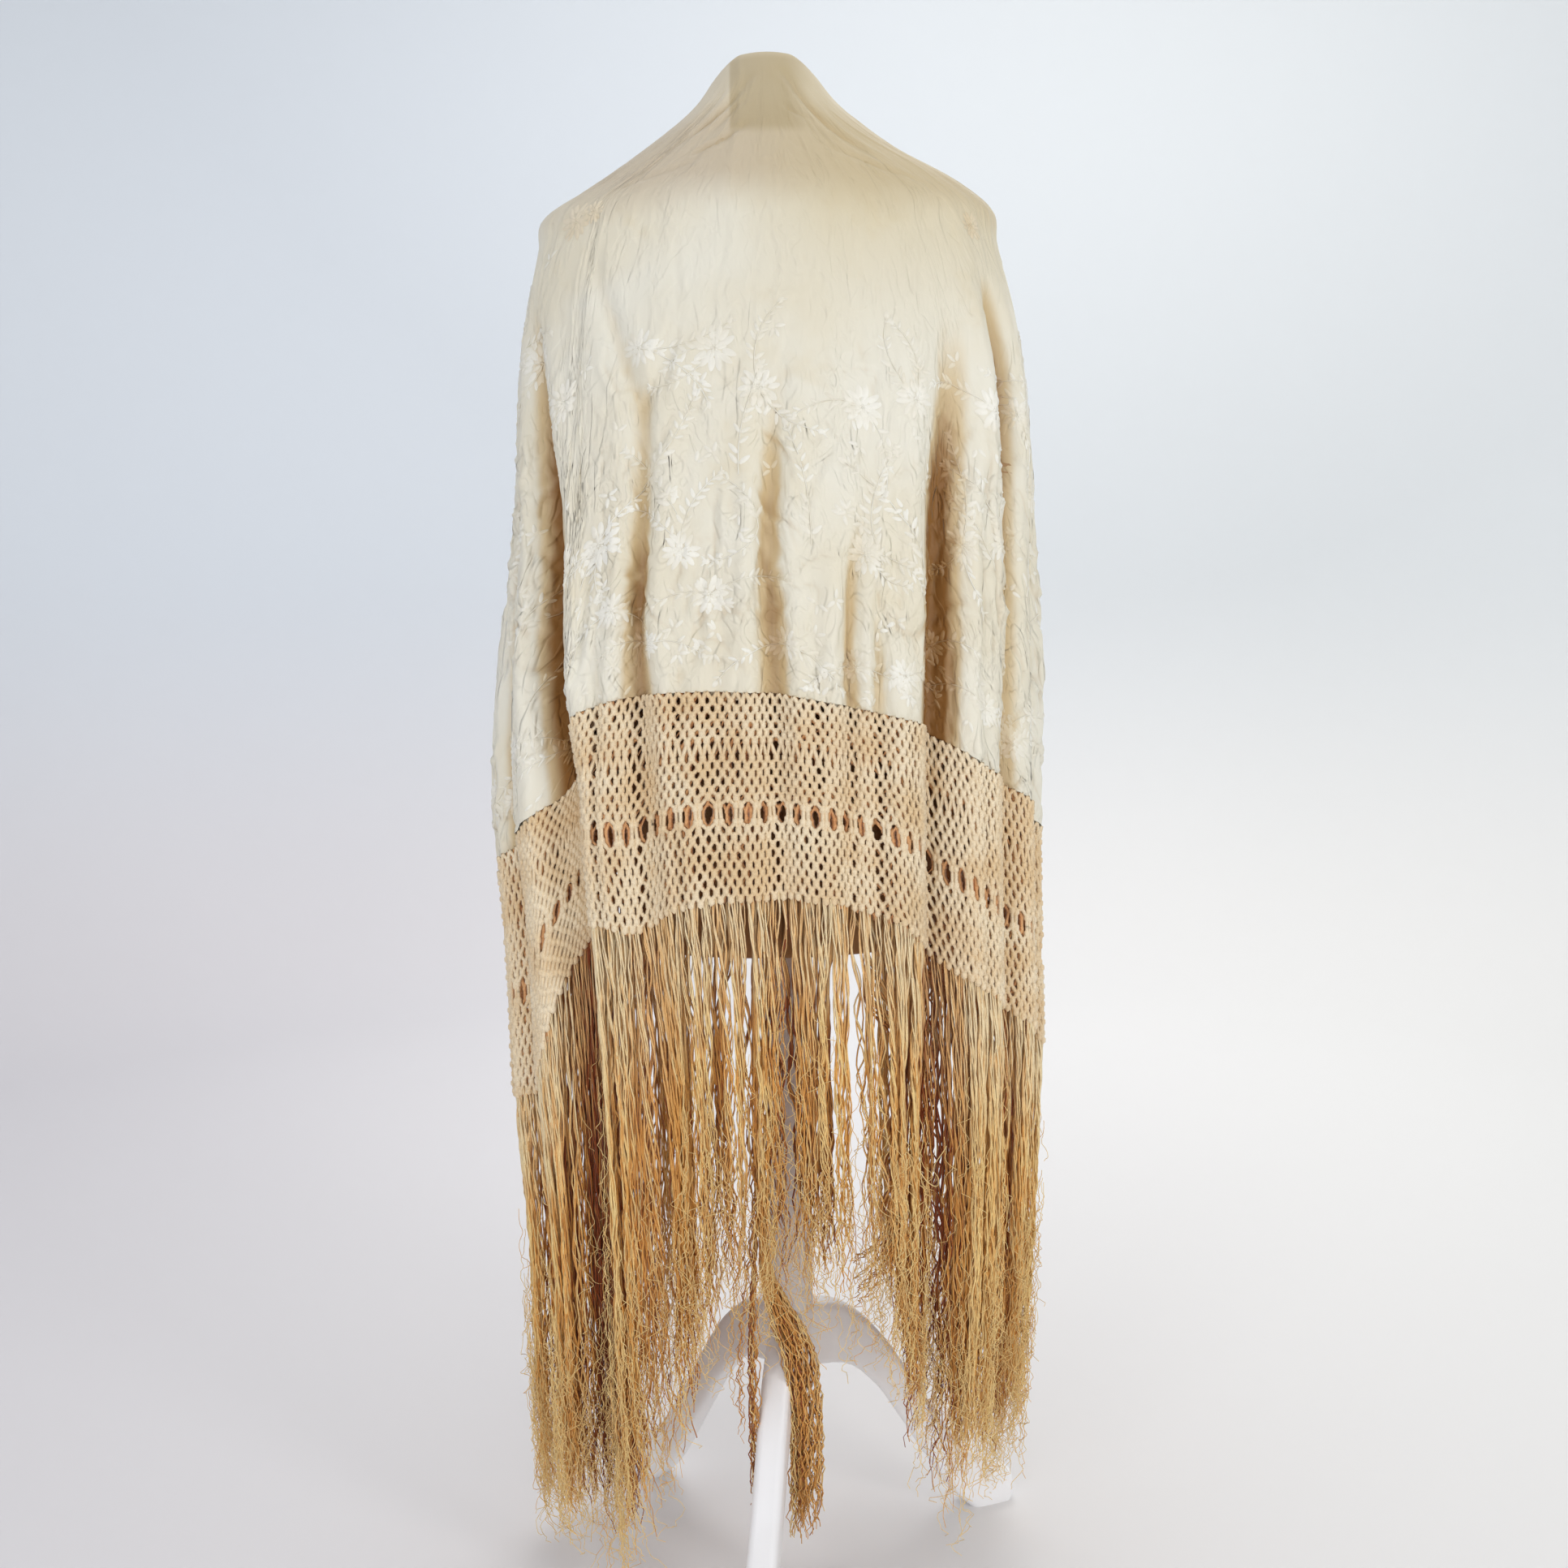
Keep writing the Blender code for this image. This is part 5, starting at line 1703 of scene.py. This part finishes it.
# %% Three outer nets and three under nets
def net_silk(name, bright, dull):
    twist = Finish(name, Specular_IOR_Level=0.4, Sheen_Weight=0.25, Sheen_Roughness=0.4)
    place = twist.place()
    uneven = twist.clouds(place, 22.0, 4.0)
    plies = twist.clouds(twist.stretch(place, (1400.0, 1400.0, 700.0)), 1.0, 1.0)
    colour = twist.mix(uneven.fade(0.3, 0.72), bright, dull)
    plied = twist.mix(plies.fade(0.45, 0.75) * 0.3, colour, paint(170, 132, 84))
    return twist.give(Base_Color=plied, Roughness=plies * 0.2 + 0.5,
                      Normal=twist.bump(plies, 0.0005, 0.6))


net_finish = net_silk("knotted ivory twist", paint(250, 233, 202), paint(236, 207, 163))
under_net_finish = net_silk("shaded twist", paint(244, 190, 134), paint(222, 158, 104))
OUTER_NET_INWARD = 0.0008
UNDER_NET_INWARD = 0.0048
for side, (start, end) in STRETCHES.items():
    first, last = float(HEM.run_at(start)), float(HEM.run_at(end))
    outer = net_mesh(f"knotted_net_{side}", first, last, OUTER_NET_INWARD, True, 5)
    under = net_mesh(f"under_knotted_net_{side}", first + MESH_PITCH * 0.4,
                     last - MESH_PITCH * 0.2, UNDER_NET_INWARD, False, 9)
    piece_of(outer, net_finish, (f"net_{side}",))
    piece_of(under, under_net_finish, (f"under_net_{side}",))

# %% [markdown]
# ## Fringe
#
# Below the net, the ends of the threads hang loose. Each strand is a plied silk thread that
# has kept the crinkle of its twist. Hair particles could grow them, but they would not
# export as a mesh, so each strand is a thin three-sided tube. Bundles that hang from the
# same few knots keep together in a lock. Where the fringe is thin and the paper shows
# through it, bundles are swept aside to the window's edge, so no strand is lost.

# %% Locks of the fringe
THIN_WINDOWS = ((-12.5, -3.6), (7.5, 22.5))
WINDOW_EDGES = HEM.run_at(np.ravel(THIN_WINDOWS))
LOCK_WIDTH = 0.024
Sway = namedtuple("Sway", "size wave grows")


def in_thin_window(angle):
    return np.any([(angle > low) & (angle < high) for low, high in THIN_WINDOWS], axis=0)


def locks_along(first, last, draw):
    """Edges of neighbouring locks of bundles along the hem, of uneven widths."""
    edges = [first]
    while edges[-1] < last - LOCK_WIDTH * 0.6:
        edges.append(min(edges[-1] + LOCK_WIDTH * draw.uniform(0.5, 1.6), last))
    edges[-1] = last
    return np.array(edges)


def waves_along(height, share, sways, draw):
    """Sideways sway of each strand: a few sine waves that grow towards its end."""
    sway = 0.0
    for size, wave, grows in sways:
        phase = draw.uniform(0, 2 * np.pi, (len(share), 1))
        tune = draw.uniform(0.7, 1.35, (len(share), 1))
        much = size * (0.08 + grows * share**2.0) * draw.uniform(0.2, 1.2, (len(share), 1))
        sway = sway + much * np.sin(2 * np.pi * height / (wave * tune) + phase)
    return sway


print("windows in the fringe:", len(THIN_WINDOWS))

# %% [markdown]
# ## Bundles and their strands
#
# First comes what a whole bundle shares: where it hangs, how far its lock pulls it in, how deep it
# lies and where it ends. Then each of its strands turns round the others, sways, gets thinner and
# frays at its end. The tone says how much painted shade a strand gets, at the back of its bundle,
# in a fold or in a sunk lock, plus a random part, because the dark gaps between locks matter as
# much as the strands.

# %% Loose strands
Strands = namedtuple("Strands", "lines outs radii tone fall")
Bundle = namedtuple("Bundle", "root middle aside drift pull sunk deep angle top end")
Kind = namedtuple("Kind", "pitch each points inward shorter radius dark keep")
LOCK_DEPTH = 0.008
LOCK_SHADE = 0.18
LOCK_DRIFT = 0.0035
LOCK_UNEVEN = 0.014
BUNDLE_DRIFT = 0.0015
BUNDLE_DEPTH = 0.003
ROOT_IN_NET = 0.004
STRAND_UNEVEN = 0.028
SNAPPED = 0.04
SNAPPED_SHARE = 0.07
LOWEST_END = 0.03
STRAND_SWAY = (Sway(0.0012, 0.017, 0.9), Sway(0.0018, 0.040, 1.2), Sway(0.0024, 0.11, 1.5))
FRAYED = 0.007
SHADE_INSIDE = 0.26
SHADE_IN_FOLD = 0.60
DARK_FOLD = 0.022
UP = np.array([0, 0, 1.0])


def hanging_bundles(first, last, kind, draw):
    """What each bundle shares. Neighbouring bundles keep together in locks."""
    count = int((last - first) / kind.pitch)
    root = first + kind.pitch * (np.arange(count) + 0.5 + draw.uniform(-0.25, 0.25, count))
    swept = in_thin_window(HEM.angle_at(root)) & (draw.random(count) > kind.keep)
    nearest = np.argmin(np.abs(root[:, None] - WINDOW_EDGES), 1)
    edges = locks_along(first, last, draw)
    middle = (edges[:-1] + edges[1:]) / 2
    locks = len(middle)
    lock = np.clip(np.searchsorted(edges, root) - 1, 0, locks - 1)
    drift = draw.normal(0, LOCK_DRIFT, locks)[lock] + draw.normal(0, BUNDLE_DRIFT, count)
    pull = draw.uniform(0.15, 0.55, locks)[lock]
    sunk = draw.uniform(0, 1, locks)[lock]
    deep = LOCK_DEPTH * sunk + draw.uniform(0, BUNDLE_DEPTH, count)
    angle = HEM.angle_at(root)
    lowest = edge_height(angle, "strands") + kind.shorter
    return Bundle(root, middle[lock], np.where(swept, WINDOW_EDGES[nearest] - root, 0), drift,
                  pull, sunk, deep, angle, edge_height(angle, "net") + ROOT_IN_NET,
                  lowest + draw.normal(0, LOCK_UNEVEN, locks)[lock])


def hanging_strands(first, last, kind, draw):
    """Strands of every bundle along the hem, each with its own turn, sway and end."""
    bundles = hanging_bundles(first, last, kind, draw)
    own = Bundle(*(np.repeat(values, kind.each)[:, None] for values in bundles))
    one_each = own.root.shape
    end = own.end + np.abs(draw.normal(0, STRAND_UNEVEN, one_each)) - STRAND_UNEVEN / 2
    end = np.maximum(end - SNAPPED * (draw.random(one_each) < SNAPPED_SHARE), LOWEST_END)
    share = np.linspace(0, 1, kind.points)[None, :] * np.ones(one_each)
    height = own.top + (end - own.top) * share
    fallen = ease(share * 2.0)
    leaning = own.pull * fallen * (1 - 0.4 * share)
    run = own.root + (own.middle - own.root) * leaning + own.drift * share
    run = run + own.aside * ease(share * 2.4)
    turn = (draw.uniform(0, 2 * np.pi, one_each)
            + 2 * np.pi * height / draw.uniform(0.05, 0.11, one_each))
    reach = kind.pitch * (0.42 + 0.06 * ease(share * 1.3))
    reach = reach * np.sqrt(draw.uniform(0.2, 1.0, one_each))
    inner = kind.inward + own.deep * fallen + reach * (1 + np.cos(turn)) * 0.8
    run = np.clip(run + reach * np.sin(turn), 0, HEM.length)
    places, outs = cloth(HEM.angle_at(run), height, inner)
    across = np.cross(outs, UP)
    for way in (across, outs):
        places = places + way * waves_along(height, share, STRAND_SWAY, draw)[..., None]
    frayed = ease((share - 0.80) / 0.20) * draw.normal(0, FRAYED, one_each)
    places = places + across * frayed[..., None]
    thinner = 1 - 0.55 * ease((share - 0.6) / 0.4)
    radii = kind.radius * draw.uniform(0.7, 1.25, one_each) * thinner
    in_fold = np.clip(crease_depth(own.angle, own.top) / DARK_FOLD, 0, 1)
    # Painted shade: strands at the back of a bundle, in a fold or in a sunk lock get a higher tone;
    # the noise adds a random tone.
    tone = kind.dark * (0.35 + 0.65 * ease(share * 2.6)) + SHADE_INSIDE * (1 + np.cos(turn)) / 2
    tone = tone + SHADE_IN_FOLD * in_fold + LOCK_SHADE * own.sunk * fallen
    tone = tone + draw.normal(0.0, 0.16, one_each)
    return Strands(places, outs, radii, np.clip(tone, 0, 1), share)


print("a bundle knows its:", *Bundle._fields)

# %% [markdown]
# ## Curls
#
# Thin kinked hairs stand off the lower half of the fringe, and soften its outline. One
# thread has slipped out of the right fold and hangs there as a shallow loop.

# %% Curls and one slipped thread
CURL_RADIUS = 0.00034
CURL_SWAY = (Sway(0.0018, 0.010, 0.9), Sway(0.0036, 0.022, 0.9), Sway(0.006, 0.05, 0.9))
LOOP_POINTS = 30
LOOP_RADIUS = 0.0006


def stray_curls(first, last, count, points, draw):
    """Thin kinked hairs that stand off the lower half of the strands."""
    roots = draw.uniform(first, last, count)
    angle = HEM.angle_at(roots)
    kept = ~in_thin_window(angle) | (draw.random(count) < 0.7)
    roots, angle = roots[kept], angle[kept]
    count = len(roots)
    top, end = edge_height(angle, "net"), edge_height(angle, "strands")
    start = top + (end - top) * draw.beta(3.6, 1.2, count)
    length = draw.uniform(0.03, 0.11, count)
    share = np.linspace(0, 1, points)[None, :] * np.ones((count, 1))
    height = np.maximum(start[:, None] - length[:, None] * share, 0.01)
    run = roots[:, None] + draw.normal(0, 0.010, (count, 1)) * share
    run = np.clip(run, 0, HEM.length)
    inner = -0.002 + 0.004 * draw.random((count, 1))
    places, outs = cloth(HEM.angle_at(run), height, inner)
    for way, much in ((np.cross(outs, UP), 1.0), (outs, 0.6)):
        swaying = waves_along(height, share + 0.3, CURL_SWAY, draw)[..., None]
        places = places + way * swaying * much
    radii = CURL_RADIUS * np.ones((count, points))
    tone = np.clip(draw.normal(0.05, 0.15, (count, 1)), 0, 1) * np.ones((1, points))
    return Strands(places, outs, radii, tone, 0.6 + 0.4 * share)


def loose_loop():
    """One thread that has slipped out and hangs as a loop in front of the right fold."""
    share = np.linspace(0, 1, LOOP_POINTS)
    angle = 28.5 + 11.0 * share
    height = 0.432 - 0.030 * np.sin(math.pi * share) ** 0.8 + 0.006 * share
    places, outs = cloth(angle, height, -0.010 * np.sin(math.pi * share))
    ones = np.ones((1, LOOP_POINTS))
    return Strands(places[None], outs[None], LOOP_RADIUS * ones, 0.0 * ones, 0.4 * ones)


print("loop:", loose_loop().lines.shape[1], "points")

# %% [markdown]
# ## From strands to a piece
#
# Each point keeps two numbers: its tone, and how far down the strand it lies. The finish reads
# both, so that the fringe is pale at the net, golden lower down and brown in the gaps, where the
# brown is painted shade.

# %% Mesh and finish of the fringe
STRAND_SIDES = 3
FLOOR_GAP = 0.004


def strand_mesh(name, groups):
    parts = [tubes(group.lines, group.radii, STRAND_SIDES, group.outs) for group in groups]
    tones = [np.repeat(group.tone.ravel(), STRAND_SIDES) for group in groups]
    falls = [np.repeat(group.fall.ravel(), STRAND_SIDES) for group in groups]
    points, faces = joined(parts)
    points[:, 2] = np.maximum(points[:, 2], FLOOR_GAP)
    return mesh_of(name, points, faces, tone=np.concatenate(tones), fall=np.concatenate(falls))


def fringe_twist():
    twist = Finish("crinkled tan twist", Specular_IOR_Level=0.4, Sheen_Weight=0.15,
                   Sheen_Roughness=0.4)
    place = twist.place()
    tone = twist.stored("tone")
    fall = twist.stored("fall")
    plies = twist.clouds(twist.stretch(place, (900.0, 900.0, 330.0)), 1.0, 2.0)
    bright = twist.mix(fall.fade(0.0, 0.45), paint(255, 236, 196), paint(255, 223, 154))
    tan = twist.mix(fall.fade(0.0, 0.5), paint(248, 205, 142), paint(238, 174, 88))
    # Painted light and shade: a low tone gives the lit colours, a high one dark brown shade.
    sunlit = twist.mix(tone.fade(0.0, 0.5), bright, tan)
    shaded = twist.mix(tone.fade(0.5, 1.0), sunlit, paint(152, 70, 22))
    colour = twist.mix(plies.fade(0.5, 0.8) * 0.3, shaded, paint(170, 108, 44))
    return twist.give(Base_Color=colour, Roughness=plies * 0.2 + 0.45,
                      Normal=twist.bump(plies, 0.0006, 0.7))


tan_twist = fringe_twist()
print("finish:", tan_twist.name)

# %% [markdown]
# ## The outer half's fringe
#
# It hangs in three stretches, as its solids do, each with its own seed.

# %% Three stretches of fringe
BUNDLE_PITCH = 0.0056
OUTER_STRANDS = Kind(pitch=BUNDLE_PITCH, each=4, points=56, inward=0.0012, shorter=0.0,
                     radius=0.0009, dark=0.0, keep=0.6)
CURLS_A_METRE = 1250
CURL_POINTS = 28
for number, (side, (start, end)) in enumerate(STRETCHES.items()):
    draw = np.random.default_rng(31 + number)
    first, last = float(HEM.run_at(start)), float(HEM.run_at(end))
    bundles = hanging_strands(first, last, OUTER_STRANDS, draw)
    curls = stray_curls(first, last, int((last - first) * CURLS_A_METRE), CURL_POINTS, draw)
    piece_of(strand_mesh(f"fringe_strands_{side}", [bundles]), tan_twist,
                           (f"fringe_{side}",))
    strays = [curls, loose_loop()] if side == "back" else [curls]
    piece_of(strand_mesh(f"fringe_curls_{side}", strays), tan_twist)

# %% [markdown]
# ## The under half's fringe and the long locks
#
# The under half's strands lie further in and get painted shade, so they are darker. A few gathered
# locks hang lower than the rest, beside the near leg and at the right. Each follows a line of its
# own.

# %% Strands of the under half, and the long locks
Lock = namedtuple("Lock", "count width radius points")
LONG_LOCKS = (
    Lock(84, 0.0150, 0.00080, (
        (-0.020, -0.122, 0.420), (-0.024, -0.116, 0.360), (-0.021, -0.106, 0.318),
        (-0.010, -0.095, 0.276), (0.005, -0.086, 0.232), (0.011, -0.081, 0.185),
        (0.012, -0.079, 0.125), (0.010, -0.078, 0.050))),
    Lock(16, 0.0050, 0.0007, (
        (-0.025, -0.122, 0.420), (-0.031, -0.112, 0.350), (-0.034, -0.106, 0.29),
        (-0.035, -0.103, 0.22), (-0.035, -0.102, 0.095))),
    Lock(7, 0.0060, 0.0005, (
        (-0.029, -0.120, 0.420), (-0.037, -0.112, 0.35), (-0.047, -0.108, 0.29),
        (-0.053, -0.106, 0.22), (-0.052, -0.105, 0.160))),
    Lock(10, 0.0035, 0.0007, (
        (0.101, -0.125, 0.440), (0.096, -0.122, 0.365), (0.083, -0.117, 0.325),
        (0.066, -0.109, 0.302), (0.058, -0.103, 0.290))),
    Lock(22, 0.0080, 0.0007, (
        (0.108, -0.118, 0.440), (0.103, -0.116, 0.350), (0.104, -0.113, 0.285),
        (0.112, -0.111, 0.240), (0.117, -0.110, 0.205))),
)
LOCK_POINTS = 58
LOCK_SWAY = ((0.0010, 0.018), (0.0016, 0.045))
LOCK_LENGTH = 0.43
UNDER_ANGLE = 74.0
UNDER_STRANDS = Kind(pitch=BUNDLE_PITCH * 0.8, each=3, points=40, inward=0.0105, shorter=0.03,
                     radius=0.0011, dark=0.32, keep=0.12)


def lock_of_strands(lock, draw):
    """Strands that are gathered in one long lock along a given line."""
    line = smooth_line(lock.points, LOCK_POINTS) + AXIS
    share = np.linspace(0, 1, LOCK_POINTS)[None, :]
    spread_out = 0.22 + 0.88 * ease((share - 0.15) * 2.2)
    turn = draw.uniform(0, 2 * np.pi, (lock.count, 1))
    reach = lock.width * np.sqrt(draw.uniform(0, 1, (lock.count, 1)))
    aside = np.cos(turn) * reach * spread_out
    back = np.sin(turn) * reach * spread_out * 0.55
    lines = np.repeat(line[None], lock.count, 0)
    shorter = draw.uniform(0.0, 0.05, (lock.count, 1)) * share
    for size, wave in LOCK_SWAY:
        phase = draw.uniform(0, 6.28, (2, lock.count, 1))
        turned = 2 * np.pi * share * LOCK_LENGTH / wave
        aside = aside + size * (0.4 + share) * np.sin(turned + phase[0])
        back = back + size * (0.4 + share) * np.sin(turned + phase[1])
    lines = lines + np.stack([aside, back, shorter], -1)
    outs = np.broadcast_to(np.array([0.0, -1.0, 0.0]), lines.shape)
    radii = lock.radius * (1 - 0.4 * ease((share - 0.85) / 0.15)) * np.ones((lock.count, 1))
    tone = np.clip(draw.normal(0.42, 0.26, (lock.count, 1)), 0, 1) * np.ones((1, LOCK_POINTS))
    return Strands(lines, outs, radii, tone, 0.5 + 0.5 * share * np.ones((lock.count, 1)))


draw = np.random.default_rng(47)
first, last = float(HEM.run_at(-UNDER_ANGLE)), float(HEM.run_at(UNDER_ANGLE))
under_strands = hanging_strands(first, last, UNDER_STRANDS, draw)
locks = [lock_of_strands(lock, draw) for lock in LONG_LOCKS]
under_fringe = piece_of(strand_mesh("under_fringe_strands_back", [under_strands, *locks]),
                        tan_twist, ("under_fringe_back",))
print("under fringe:", len(under_fringe.data.polygons) * 2, "triangles")

# %% [markdown]
# ## The two boxes
#
# The box of the dressed object is printed beside the box of the measured model, so that the two can
# be compared after each run.

boxes = {"model": MODEL_BOX, "dressed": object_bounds()}
for name, box in boxes.items():
    print(name, [tuple(round(value, 4) for value in corner) for corner in box])
